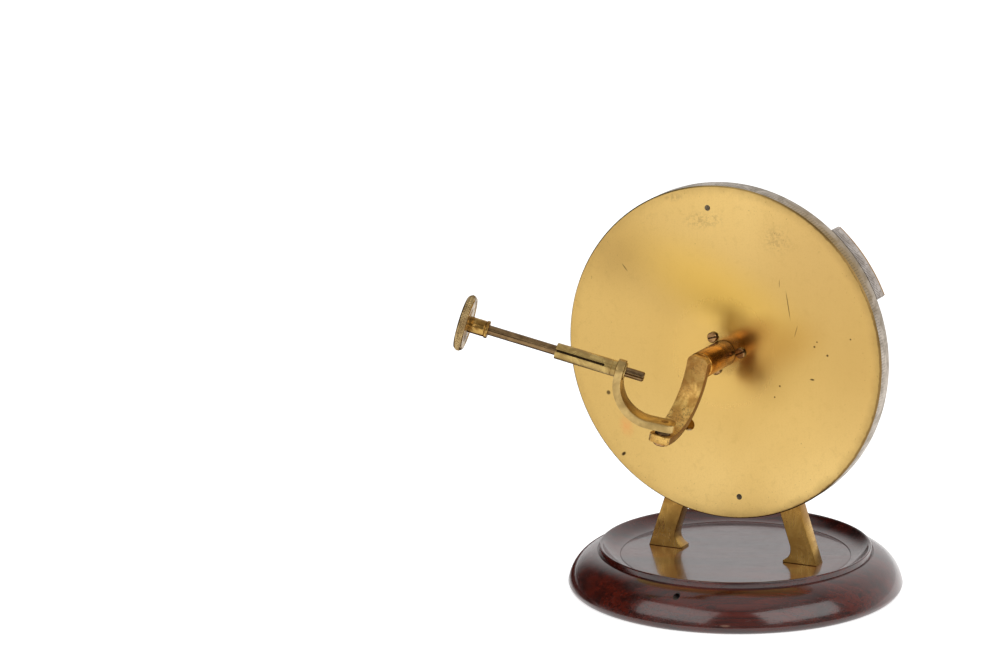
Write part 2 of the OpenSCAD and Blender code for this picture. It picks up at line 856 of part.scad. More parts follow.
module split_sleeve() {
    cut_turn = 20;
    color(dull_brass)
        at_rod()
            difference() {
                union() {
                    rod_x(sleeve_lip_d, sleeve_in_x, sleeve_lip_x);
                    rod_x(sleeve_neck_d, sleeve_lip_x, sleeve_step_x);
                    rod_x(sleeve_d, sleeve_step_x, sleeve_out_x);
                }
                rod_x(pin_d + 2 * run_gap, sleeve_in_x - over, sleeve_out_x + over);
                rotate([cut_turn, 0, 0])
                    translate([sleeve_out_x - sleeve_cut_l, -sleeve_d, -sleeve_cut_w / 2])
                        cube([sleeve_cut_l + over, 2 * sleeve_d, sleeve_cut_w]);
            }
}

module crystal_pin() {
    edge = 0.4;
    color(steel)
        at_rod()
            difference() {
                union() {
                    translate([pin_tip_gap, 0, 0])
                        rotate([0, 90, 0])
                            cylinder(d1 = pin_d - 2 * edge, d2 = pin_d, h = edge);
                    rod_x(pin_d, pin_tip_gap + edge, knob_in_x + pin_grip);
                }
                translate([pin_tip_gap - over, -pin_d, -tip_cut_w / 2])
                    cube([tip_cut_l + over, 2 * pin_d, tip_cut_w]);
            }
}

module knob_boss() {
    color(brass)
        at_rod()
            difference() {
                union() {
                    rod_x(bead_d, boss_in_x, boss_in_x + bead_w);
                    rod_x(knob_boss_d, boss_in_x + bead_w, knob_in_x);
                }
                rod_x(pin_d + 2 * fit_gap, boss_in_x - over, knob_in_x + over);
            }
}

module pin_knob() {
    color(dull_brass)
        at_rod()
            difference() {
                translate([knob_in_x, 0, 0])
                    rotate([0, 90, 0])
                        milled_head(knob_d, knob_t);
                rod_x(pin_d + 2 * fit_gap, knob_in_x - over, knob_in_x + pin_grip + fit_gap);
            }
}

base();
frame();
foot_screws();
foot_washers();
bearing_bush();
vernier_arm();
vernier_screws();
vernier_scale();
stop_lever();
stop_lever_screw();
circle_plate();
circle_rim();
scale_band();
stop_pins();
hollow_axle();
hub_screws();
circle_head();
ring_nut();
inner_axle();
spindle();
inner_arm();
pivot_washer();
axle_head();
axle_head_screw();
outer_arm();
pivot_screw();
split_sleeve();
crystal_pin();
knob_boss();
pin_knob();
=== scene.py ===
"""Looks of the crystallographic goniometer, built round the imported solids.

Sizes in the classes are millimetres of the part's own frame: the origin is the middle of the base's
underside, +Z is up and -Y is the front, where the crystal is held. Meshes are written in metres.
"""

from __future__ import annotations

import json
import logging
import math
from collections.abc import Callable, Sequence
from dataclasses import dataclass, field, replace
from enum import Enum

import bmesh
import bpy
import numpy as np
from mathutils import Matrix, Vector
from mathutils.geometry import tessellate_polygon

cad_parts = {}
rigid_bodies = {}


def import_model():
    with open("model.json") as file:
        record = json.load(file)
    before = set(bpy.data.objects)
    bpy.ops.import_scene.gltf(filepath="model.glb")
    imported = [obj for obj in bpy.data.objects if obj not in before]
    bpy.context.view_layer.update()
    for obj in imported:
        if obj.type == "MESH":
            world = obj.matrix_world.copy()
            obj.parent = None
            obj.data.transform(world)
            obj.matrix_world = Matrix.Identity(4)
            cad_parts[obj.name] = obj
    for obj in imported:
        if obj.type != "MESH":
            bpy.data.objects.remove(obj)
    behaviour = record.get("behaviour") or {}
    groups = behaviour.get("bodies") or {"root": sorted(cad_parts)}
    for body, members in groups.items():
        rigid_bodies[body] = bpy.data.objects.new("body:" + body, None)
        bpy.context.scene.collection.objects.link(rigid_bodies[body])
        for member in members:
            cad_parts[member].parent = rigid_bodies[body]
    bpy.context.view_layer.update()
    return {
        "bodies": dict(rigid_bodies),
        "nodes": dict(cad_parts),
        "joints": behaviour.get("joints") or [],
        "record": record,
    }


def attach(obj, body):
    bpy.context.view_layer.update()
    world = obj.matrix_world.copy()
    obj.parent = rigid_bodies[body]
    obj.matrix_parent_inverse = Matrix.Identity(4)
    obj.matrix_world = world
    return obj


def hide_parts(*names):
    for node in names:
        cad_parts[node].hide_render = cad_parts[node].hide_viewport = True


LOG = logging.getLogger("goniometer")
MM = 0.001
AXIS_H = 84.1  # height of the circle's axle
FACE_Y = -10.0  # the circle's front face
PATCH_DEPTH = 1.8  # how deep a patch of that face reaches into the plate
ARM_TILT = 11.0  # turn of the arms about the axle at rest, in degrees
PIN_TURN = (0.0, 15.1, 16.0)  # turns that lay X along the crystal pin
WORMHOLE = (1.8, -51.5, 10.8)  # mouth of the wormhole in the base
CAST_EASE = 0.22  # width of the bevels on the frame and the arms
TURNED_EASE = 0.12  # length by which the corners of turned pieces are eased
BEVEL_MIDDLE = 0.3  # where a bevel's middle row lies, as a share of its width
SCREW_SIDES = 48  # steps round a screw's hole

Pair = tuple[float, float]
Triple = tuple[float, float, float]
Socket = bpy.types.NodeSocket


class Body(str, Enum):
    """The bodies that the pieces made here ride on."""

    STAND = "stand"
    CIRCLE = "circle"
    CARRIER = "carrier"
    SWING_ARM = "swing_arm"
    SLEEVE = "sleeve"
    PIN = "pin"


class Slot(str, Enum):
    """Names of the material slots that are passed with the pieces made here."""

    MAHOGANY = "mahogany"
    GILT = "gilt_brass"
    BRASS = "brass"
    DULL = "dull_brass"
    ORANGE = "orange_brass"
    SILVERED = "silvered"


# Shapes


@dataclass(frozen=True)
class Place:
    """A local frame: an origin and three axes, in the part's frame."""

    origin: Triple = (0, 0, 0)
    x: Triple = (1, 0, 0)
    y: Triple = (0, 1, 0)
    z: Triple = (0, 0, 1)

    def ahead(self, way: float) -> "Place":
        """The same frame, moved along its own Z."""
        return replace(self, origin=tuple(np.asarray(self.origin) + way * np.asarray(self.z)))

    def put(self, points: np.ndarray) -> np.ndarray:
        """Local points as points of the part: the origin plus each coordinate times its axis."""
        return np.asarray(self.origin) + points @ np.array([self.x, self.y, self.z])


@dataclass
class Shell:
    """Corners and faces of one piece, gathered patch by patch."""

    corners: list[np.ndarray] = field(default_factory=list)
    loops: list[np.ndarray] = field(default_factory=list)
    sizes: list[np.ndarray] = field(default_factory=list)
    count: int = 0

    def add(self, points: np.ndarray, faces: Sequence[np.ndarray]) -> "Shell":
        """Adds a patch.

        Args:
            points: its corners, one row each.
            faces: index arrays, one per kind of face, each of one row per face.

        Returns:
            The shell itself.
        """
        for kind in faces:
            kind = np.asarray(kind, dtype=np.int64)
            if kind.size:
                self.loops.append(kind.reshape(-1) + self.count)
                self.sizes.append(np.full(len(kind), kind.shape[1]))
        self.corners.append(np.asarray(points, dtype=float))
        self.count += len(points)
        return self

    def join(self, other: "Shell", place: Place | None = None) -> "Shell":
        """Adds all patches of another shell.

        Args:
            other: the other shell.
            place: where it is put, if not where it is.

        Returns:
            The shell itself.
        """
        start = self.count
        for points in other.corners:
            self.corners.append(points if place is None else place.put(points))
            self.count += len(points)
        self.loops += [loop + start for loop in other.loops]
        self.sizes += other.sizes
        return self

    def mesh(self, name: str, place: Place, crease: float, weld: float) -> bpy.types.Mesh:
        """Writes the shell as a Blender mesh in metres.

        Args:
            name: the mesh's name.
            place: where the shell's local frame lies.
            crease: edges that bend by more than this angle in degrees are drawn sharp.
            weld: corners closer than this, in millimetres, become one.

        Returns:
            The mesh.
        """
        points = place.put(np.concatenate(self.corners)) * MM
        loops = np.concatenate(self.loops)
        sizes = np.concatenate(self.sizes)
        mesh = bpy.data.meshes.new(name)
        mesh.vertices.add(len(points))
        mesh.vertices.foreach_set("co", points.astype(np.float32).reshape(-1))
        mesh.loops.add(len(loops))
        mesh.loops.foreach_set("vertex_index", loops.astype(np.int32))
        mesh.polygons.add(len(sizes))
        mesh.polygons.foreach_set("loop_start", np.concatenate([[0], np.cumsum(sizes)[:-1]]).astype(np.int32))
        mesh.update(calc_edges=True)
        mesh.validate()
        if weld > 0:
            work = bmesh.new()
            work.from_mesh(mesh)
            bmesh.ops.remove_doubles(work, verts=work.verts, dist=weld * MM)
            work.to_mesh(mesh)
            work.free()
        mesh.shade_smooth()
        mesh.set_sharp_from_angle(angle=math.radians(crease))
        return mesh


def cos_sin(degrees: float) -> Pair:
    """Cosine and sine of an angle in degrees."""
    return math.cos(math.radians(degrees)), math.sin(math.radians(degrees))


def arc(centre: Pair, radius: float, start: float, end: float, count: int, last: bool = True) -> np.ndarray:
    """Points of an arc about a centre, from one angle in degrees to another, with the last one or without."""
    angle = np.radians(np.linspace(start, end, count, endpoint=last))
    return np.stack([centre[0] + radius * np.cos(angle), centre[1] + radius * np.sin(angle)], axis=1)


def bowed(start: Sequence[float], end: Sequence[float], sag: float, count: int) -> np.ndarray:
    """Points of a flat curve between two points: the chord plus a parabola that swells by sag.

    Args:
        start: the first point.
        end: the last point.
        sag: the swell at the middle, to the right of the way.
        count: how many points.

    Returns:
        The points, ends included.
    """
    t = np.linspace(0, 1, count)[:, None]
    p, q = np.asarray(start, float), np.asarray(end, float)
    side = np.array([q[1] - p[1], p[0] - q[0]]) / max(float(np.hypot(*(q - p))), 1e-9)
    return p + (q - p) * t + side * 4 * sag * t * (1 - t)


def eased(points: Sequence[Pair], ease: float, steps: int = 3) -> np.ndarray:
    """A closed profile whose corners are rounded.

    Each corner gives way to a short quadratic curve between two points, which lie at most the easing
    length, or two fifths of the edge, from it on its two edges.

    Args:
        points: the corners.
        ease: the easing length.
        steps: points per rounded corner.

    Returns:
        The eased profile.
    """
    p = np.asarray(points, dtype=float)
    before, after = np.roll(p, 1, axis=0), np.roll(p, -1, axis=0)
    back, ahead = before - p, after - p
    back_l = np.maximum(np.hypot(back[:, 0], back[:, 1]), 1e-9)[:, None]
    ahead_l = np.maximum(np.hypot(ahead[:, 0], ahead[:, 1]), 1e-9)[:, None]
    a = p + back / back_l * np.minimum(ease, 0.4 * back_l)
    b = p + ahead / ahead_l * np.minimum(ease, 0.4 * ahead_l)
    t = np.linspace(0, 1, steps)[None, :, None]
    return (a[:, None] * (1 - t) ** 2 + 2 * p[:, None] * t * (1 - t) + b[:, None] * t**2).reshape(-1, 2)


def ring_section(inner: float, outer: float, low: float, high: float) -> list[Pair]:
    """Corners of a plain ring's half section, the way that a turned piece runs."""
    return [(inner, low), (outer, low), (outer, high), (inner, high)]


def grid_faces(index: np.ndarray, wrap_rows: bool = False) -> list[np.ndarray]:
    """Faces of a grid of corner numbers whose columns run round; triangles where neighbours are one corner.

    Args:
        index: corner numbers, one row per profile point, one column per step round.
        wrap_rows: whether the last row joins the first.

    Returns:
        The four-sided faces and the triangles.
    """
    rows = np.concatenate([index, index[:1]]) if wrap_rows else index
    grid = np.concatenate([rows, rows[:, :1]], axis=1)
    quads = np.stack([grid[:-1, :-1], grid[:-1, 1:], grid[1:, 1:], grid[1:, :-1]], axis=-1).reshape(-1, 4)
    low, high = quads[:, 0] == quads[:, 1], quads[:, 2] == quads[:, 3]
    return [quads[~low & ~high], quads[low & ~high][:, [0, 2, 3]], quads[high & ~low][:, [0, 1, 2]]]


def turned(
    profile: Sequence[Sequence[float]] | np.ndarray,
    count: int = 96,
    closed: bool = False,
    relief: Callable[[np.ndarray, np.ndarray, np.ndarray], np.ndarray] | None = None,
    turns: np.ndarray | None = None,
) -> Shell:
    """A turned piece: the profile carried round the local Z axis.

    A corner is (r cos a, r sin a, h) for profile point (r, h) and turn a. Points on the axis stay one
    corner. The profile runs outwards below, up outside and inwards above, so faces point outwards.

    Args:
        profile: rows of radius and height.
        count: steps round the axis.
        closed: whether the profile closes on itself, as a ring's does.
        relief: what is added to the radius, from the radius, height and turn of each corner.
        turns: the turn of each step in radians, rising, instead of even steps.

    Returns:
        The shell.
    """
    p = np.asarray(profile, dtype=float)
    turn = np.linspace(0, 2 * math.pi, count, endpoint=False) if turns is None else turns
    count = len(turn)
    r = np.repeat(p[:, :1], count, axis=1)
    h = np.repeat(p[:, 1:], count, axis=1)
    a = np.repeat(turn[None], len(p), axis=0)
    if relief is not None:
        r = np.where(r > 1e-9, r + relief(r, h, a), r)
    flat = np.stack([r * np.cos(a), r * np.sin(a), h], axis=-1).reshape(-1, 3)
    index = np.arange(len(flat)).reshape(len(p), count)
    index = np.where(p[:, :1] < 1e-9, index[:, :1], index)
    used, inverse = np.unique(index.reshape(-1), return_inverse=True)
    index = inverse.reshape(index.shape)
    return Shell().add(flat[used], grid_faces(index, closed))


def flat_face(loops: Sequence[np.ndarray], height: float, up: bool) -> Shell:
    """A flat face across Z that may have holes.

    Args:
        loops: its outline, then its holes, as rows of x and y.
        height: its Z.
        up: whether it faces +Z.

    Returns:
        The shell.
    """
    points = np.concatenate([np.asarray(loop, float) for loop in loops])
    solid = np.concatenate([points, np.full((len(points), 1), height)], axis=1)
    sides = tessellate_polygon([[Vector((float(x), float(y), 0.0)) for x, y in loop] for loop in loops])
    tri = np.array(sides, dtype=np.int64)
    a, b, c = points[tri[:, 0]], points[tri[:, 1]], points[tri[:, 2]]
    area = (b[:, 0] - a[:, 0]) * (c[:, 1] - a[:, 1]) - (b[:, 1] - a[:, 1]) * (c[:, 0] - a[:, 0])
    tri = tri[np.abs(area) > 1e-9]
    area = area[np.abs(area) > 1e-9]
    wrong = (area > 0) != up
    tri[wrong] = tri[wrong][:, ::-1]
    return Shell().add(solid, [tri])


def inset(loop: np.ndarray, depth: float) -> np.ndarray:
    """An anticlockwise outline moved inwards: each corner goes along the middle of its edges' normals.

    Args:
        loop: the outline.
        depth: how far each edge moves.

    Returns:
        The smaller outline.
    """
    ahead = np.roll(loop, -1, axis=0) - loop
    ahead /= np.maximum(np.hypot(ahead[:, 0], ahead[:, 1]), 1e-9)[:, None]
    back = np.roll(ahead, 1, axis=0)
    normal = np.stack([-(ahead[:, 1] + back[:, 1]), ahead[:, 0] + back[:, 0]], axis=1)
    length = np.maximum((normal**2).sum(axis=1), 0.25)
    return loop + normal * (2 * depth / length)[:, None]


def prism(loop: np.ndarray, low: float, high: float, ease: float) -> Shell:
    """An outline drawn out along Z with eased edges.

    Rings of the outline lie at low, low + ease, high - ease and high; the first and last are inset by
    the easing, and flat faces close them.

    Args:
        loop: the outline, anticlockwise.
        low: lowest Z.
        high: highest Z.
        ease: width of the bevel.

    Returns:
        The shell.
    """
    inner, part = inset(loop, ease), ease * BEVEL_MIDDLE
    between = inset(loop, part)
    rings = [(inner, low), (between, low + part), (loop, low + ease),
             (loop, high - ease), (between, high - part), (inner, high)]
    points = np.concatenate([np.c_[ring, np.full(len(ring), z)] for ring, z in rings])
    index = np.arange(len(points)).reshape(len(rings), len(loop))
    shell = Shell().add(points, grid_faces(index))
    return shell.join(flat_face([inner], low, False)).join(flat_face([inner], high, True))


def drawn(section: np.ndarray, path: np.ndarray, side: np.ndarray, up: np.ndarray,
          scale: np.ndarray) -> Shell:
    """A section carried along a path, closed by a face at each end.

    A corner is the path point plus the section's first coordinate along side and its second along up,
    each times the scale there. The section is anticlockwise as seen from the path's end.

    Args:
        section: rows of two coordinates.
        path: path points.
        side: direction of the first coordinate at each path point.
        up: direction of the second one.
        scale: two factors per path point.

    Returns:
        The shell.
    """
    first = section[None, :, 0, None] * scale[:, 0, None, None] * side[:, None]
    second = section[None, :, 1, None] * scale[:, 1, None, None] * up[:, None]
    points = (path[:, None] + first + second).reshape(-1, 3)
    index = np.arange(len(points)).reshape(len(path), len(section))
    ends = [index[:1, ::-1], index[-1:]]
    return Shell().add(points, [*grid_faces(index), *ends])


# Finishes


def tone(red: float, green: float, blue: float) -> tuple[float, float, float, float]:
    """A screen colour as a linear one with full cover.

    Args:
        red: its red, from 0 to 255.
        green: its green.
        blue: its blue.

    Returns:
        Four values from 0 to 1.
    """
    value = np.array([red, green, blue]) / 255.0
    line = np.where(value <= 0.04045, value / 12.92, ((value + 0.055) / 1.055) ** 2.4)
    return (float(line[0]), float(line[1]), float(line[2]), 1.0)


class Nodes:
    """A node tree, with short ways to add nodes and join them."""

    def __init__(self, tree: bpy.types.NodeTree) -> None:
        """Empties the tree.

        Args:
            tree: the tree.
        """
        tree.nodes.clear()
        self.tree = tree

    def add(self, kind: str, inputs: dict[str | int, object] | None = None,
            **options: object) -> bpy.types.Node:
        """Adds a node.

        Args:
            kind: its type, less the leading ShaderNode.
            inputs: for each input, by name or number, its value or the socket that feeds it.
            options: the node's own settings.

        Returns:
            The node.
        """
        node = self.tree.nodes.new("ShaderNode" + kind)
        for key, value in options.items():
            setattr(node, key, value)
        for key, value in (inputs or {}).items():
            self.feed(node.inputs[key], value)
        return node

    def feed(self, socket: Socket, value: object) -> None:
        """Joins a socket to a node's output, or sets its value.

        Args:
            socket: the input socket.
            value: an output socket, or a value.
        """
        if isinstance(value, Socket):
            self.tree.links.new(value, socket)
        else:
            socket.default_value = value

    def sum(self, kind: str, first: object, second: object = 0.0, third: object = 0.0) -> Socket:
        """One step of arithmetic, named as Blender's Math node names it."""
        return self.add("Math", {0: first, 1: second, 2: third}, operation=kind).outputs[0]

    def times(self, first: object, *others: object) -> Socket:
        """The product of all.

        Args:
            first: a socket or a value.
            others: more of them.

        Returns:
            The product's socket.
        """
        for other in others:
            first = self.sum("MULTIPLY", first, other)
        return first

    def plus(self, first: object, second: object, share: float = 1.0) -> Socket:
        """The first plus a share of the second."""
        return self.sum("MULTIPLY_ADD", second, share, first)

    def rest(self, value: object) -> Socket:
        """One less the value."""
        return self.sum("SUBTRACT", 1.0, value)

    def most(self, first: object, second: object) -> Socket:
        """The larger of two values."""
        return self.sum("MAXIMUM", first, second)

    def span(self, value: Socket, low: float, high: float, first: float = 0.0, last: float = 1.0) -> Socket:
        """A value carried smoothly from one range to another, held at its ends."""
        ends = {"Value": value, "From Min": low, "From Max": high, "To Min": first, "To Max": last}
        return self.add("MapRange", ends, interpolation_type="SMOOTHSTEP").outputs[0]

    def blend(self, share: object, first: object, second: object) -> Socket:
        """One colour going over to another by a share."""
        return self.add("Mix", {0: share, 6: first, 7: second}, data_type="RGBA").outputs[2]

    def tint(self, colour: object, share: object, shade: Triple, most: float = 1.0) -> Socket:
        """A colour going over to a screen colour by a share, at most so far."""
        return self.blend(share if most == 1.0 else self.times(share, most), colour, tone(*shade))

    def parts(self, vector: Socket) -> tuple[Socket, Socket, Socket]:
        """The three coordinates of a vector."""
        return tuple(self.add("SeparateXYZ", {0: vector}).outputs)

    def dot(self, vector: Socket, way: Triple) -> Socket:
        """How far a vector reaches along a way."""
        return self.add("VectorMath", {0: vector, 1: way}, operation="DOT_PRODUCT").outputs["Value"]


class Graph(Nodes):
    """A material's nodes: shader, object coordinates and the patterns that the finishes share."""

    def __init__(self, name: str) -> None:
        """Starts a material with a principled shader.

        Args:
            name: the material's name.
        """
        self.material = bpy.data.materials.new(name)
        self.material.use_nodes = True
        super().__init__(self.material.node_tree)
        self.shader = self.add("BsdfPrincipled")
        self.output = self.add("OutputMaterial", {0: self.shader.outputs[0]})
        self.coords = self.add("TexCoord").outputs["Object"]

    def placed(self, centre: Triple = (0, 0, 0), turn: Triple = (0, 0, 0),
               size: Triple = (1, 1, 1)) -> Socket:
        """Object coordinates in millimetres about a centre, turned back and divided by a size.

        Args:
            centre: the centre, in millimetres.
            turn: turns in degrees about X, Y and Z.
            size: what counts as one along each turned axis, in millimetres.

        Returns:
            The vector's socket.
        """
        inputs = {"Vector": self.coords, "Location": [v * MM for v in centre],
                  "Rotation": [math.radians(v) for v in turn], "Scale": [v * MM for v in size]}
        return self.add("Mapping", inputs, vector_type="TEXTURE").outputs[0]

    def noise(self, vector: Socket, scale: float = 1.0, detail: float = 3.0, rough: float = 0.5,
              warp: float = 0.0) -> Socket:
        """Soft noise from 0 to 1 about one half."""
        inputs = {"Vector": vector, "Scale": scale, "Detail": detail, "Roughness": rough, "Distortion": warp}
        return self.add("TexNoise", inputs).outputs[0]

    def dots(self, vector: Socket, scale: float, inner: float, outer: float) -> Socket:
        """1 within the inner distance of scattered points, 0 past the outer one."""
        cells = self.add("TexVoronoi", {"Vector": vector, "Scale": scale})
        return self.span(cells.outputs["Distance"], inner, outer, 1.0, 0.0)

    def near(self, centre: Triple, size: Triple, turn: Triple = (0, 0, 0), soft: float = 0.35) -> Socket:
        """1 inside an ellipsoid and 0 outside.

        Args:
            centre: its middle in millimetres.
            size: its three half lengths.
            turn: its turns in degrees about X, Y and Z.
            soft: width of its edge, as a share of its size.

        Returns:
            The share's socket.
        """
        length = self.add("VectorMath", {0: self.placed(centre, turn, size)}, operation="LENGTH")
        return self.span(length.outputs["Value"], 1 - soft, 1 + soft, 1.0, 0.0)

    def bump(self, height: Socket, depth: float, base: Socket | None = None) -> Socket:
        """A normal that follows a height.

        Args:
            height: the height, from 0 to 1.
            depth: what 1 stands for, in millimetres.
            base: the normal that it starts from, if not the surface's.

        Returns:
            The normal's socket.
        """
        inputs = {"Strength": 1.0, "Distance": depth * MM, "Height": height}
        if base is not None:
            inputs["Normal"] = base
        return self.add("Bump", inputs).outputs[0]

    def finish(self, colour: Socket, rough: Socket, normal: Socket, metal: float = 1.0,
               **fixed: float) -> bpy.types.Material:
        """Joins the patterns to the shader and sets fixed numbers on its other sockets.

        Args:
            colour: the base colour.
            rough: the roughness.
            normal: the normal.
            metal: how far it is metal.
            fixed: values by socket name, with underscores for its spaces.

        Returns:
            The material.
        """
        inputs = {"Base Color": colour, "Roughness": rough, "Normal": normal, "Metallic": metal}
        inputs.update({key.replace("_", " "): value for key, value in fixed.items()})
        for key, value in inputs.items():
            self.feed(self.shader.inputs[key], value)
        return self.material


@dataclass(frozen=True)
class BrassFinish:
    """Brass with a tone, cloudy stains, small pits and rubbing lines along one direction.

    Optional are a speckled grain, painted shade on the side right of an X in the arms' frame, painted brown
    shade above a height, and painted dark shade behind a Y, in a screw's slot.
    """

    name: str
    light: Triple
    dark: Triple
    stain: Triple
    stain_share: float = 0.4
    cloud: float = 9.0
    rough: float = 0.3
    lines: Triple = (14.0, 0.25, 0.25)
    turn: Triple = (0.0, 0.0, 0.0)
    pits: float = 0.5
    streaks: float = 0.22
    metal: float = 1.0
    speckle: float = 0.0
    painted_shade_side: float | None = None
    painted_shade_above: float | None = None
    painted_shade_behind: float | None = None

    def build(self) -> bpy.types.Material:
        """Makes the material.

        Returns:
            The material.
        """
        g = Graph(self.name)
        here = g.placed()
        cloud = g.noise(here, 1 / self.cloud, 4, 0.62, 0.6)
        colour = g.blend(g.span(cloud, 0.36, 0.66), tone(*self.dark), tone(*self.light))
        stain = g.noise(g.placed((31, 7, 3)), 2.4 / self.cloud, 5, 0.7, 1.2)
        edge = g.span(stain, 0.66 - 0.2 * self.stain_share, 0.78 - 0.12 * self.stain_share)
        colour = g.tint(colour, edge, self.stain, self.stain_share)
        streak = g.noise(g.placed(turn=self.turn, size=self.lines), 1.0, 2, 0.5)
        colour = g.tint(colour, g.span(streak, 0.3, 0.75), self.dark, self.streaks)
        pit = g.times(g.dots(here, 1.1, 0.05, 0.13), g.span(g.noise(here, 0.35, 2, 0.5), 0.55, 0.62),
                      self.pits)
        colour = g.tint(colour, pit, (62, 44, 28))
        if self.speckle > 0:
            grain = g.span(g.noise(here, 1.5, 4, 0.8), 0.52, 0.6)
            patchy = g.span(g.noise(here, 0.16, 3, 0.6), 0.4, 0.62, 0.15, 1.0)
            colour = g.tint(colour, g.times(grain, patchy), (104, 72, 40), self.speckle)
        if self.painted_shade_side is not None:
            # painted shade: the side right of the X is browned, standing in for shade on that face
            x, _, _ = g.parts(g.placed((0, 0, AXIS_H), (0, ARM_TILT, 0)))
            colour = g.tint(colour, g.span(x, self.painted_shade_side, self.painted_shade_side + 0.1), (112, 72, 36), 0.85)
        if self.painted_shade_above is not None:
            # painted shade: brown above the height, standing in for shade on the upper parts
            _, _, z = g.parts(here)
            colour = g.tint(colour, g.span(z, self.painted_shade_above - 7, self.painted_shade_above + 3), (146, 96, 38), 0.5)
        if self.painted_shade_behind is not None:
            # painted shade: dark behind the Y, in the screw heads' slots and round their sides
            _, y, _ = g.parts(here)
            colour = g.tint(colour, g.span(y, self.painted_shade_behind, self.painted_shade_behind + 0.12), (38, 24, 14), 0.85)
        rough = g.plus(g.span(cloud, 0.3, 0.7, 0.07, -0.05), g.span(streak, 0.3, 0.7, -0.04, 0.05))
        normal = g.bump(g.rest(pit), 0.03, g.bump(streak, 0.006))
        return g.finish(colour, g.plus(rough, self.rough), normal, self.metal)


@dataclass(frozen=True)
class Patch:
    """An ellipse on the circle's face: its middle right of and above the axle, half lengths and turn."""

    x: float
    z: float
    wide: float
    high: float
    turn: float = 0.0
    share: float = 0.85
    shade: Triple = (158, 130, 84)

    def mask(self, g: Graph, soft: float = 0.35) -> Socket:
        """Its share inside and 0 outside; it is too shallow to reach the plate's back."""
        centre, size = (self.x, FACE_Y, AXIS_H + self.z), (self.wide, PATCH_DEPTH, self.high)
        return g.times(g.near(centre, size, (0, -self.turn, 0), soft), self.share)


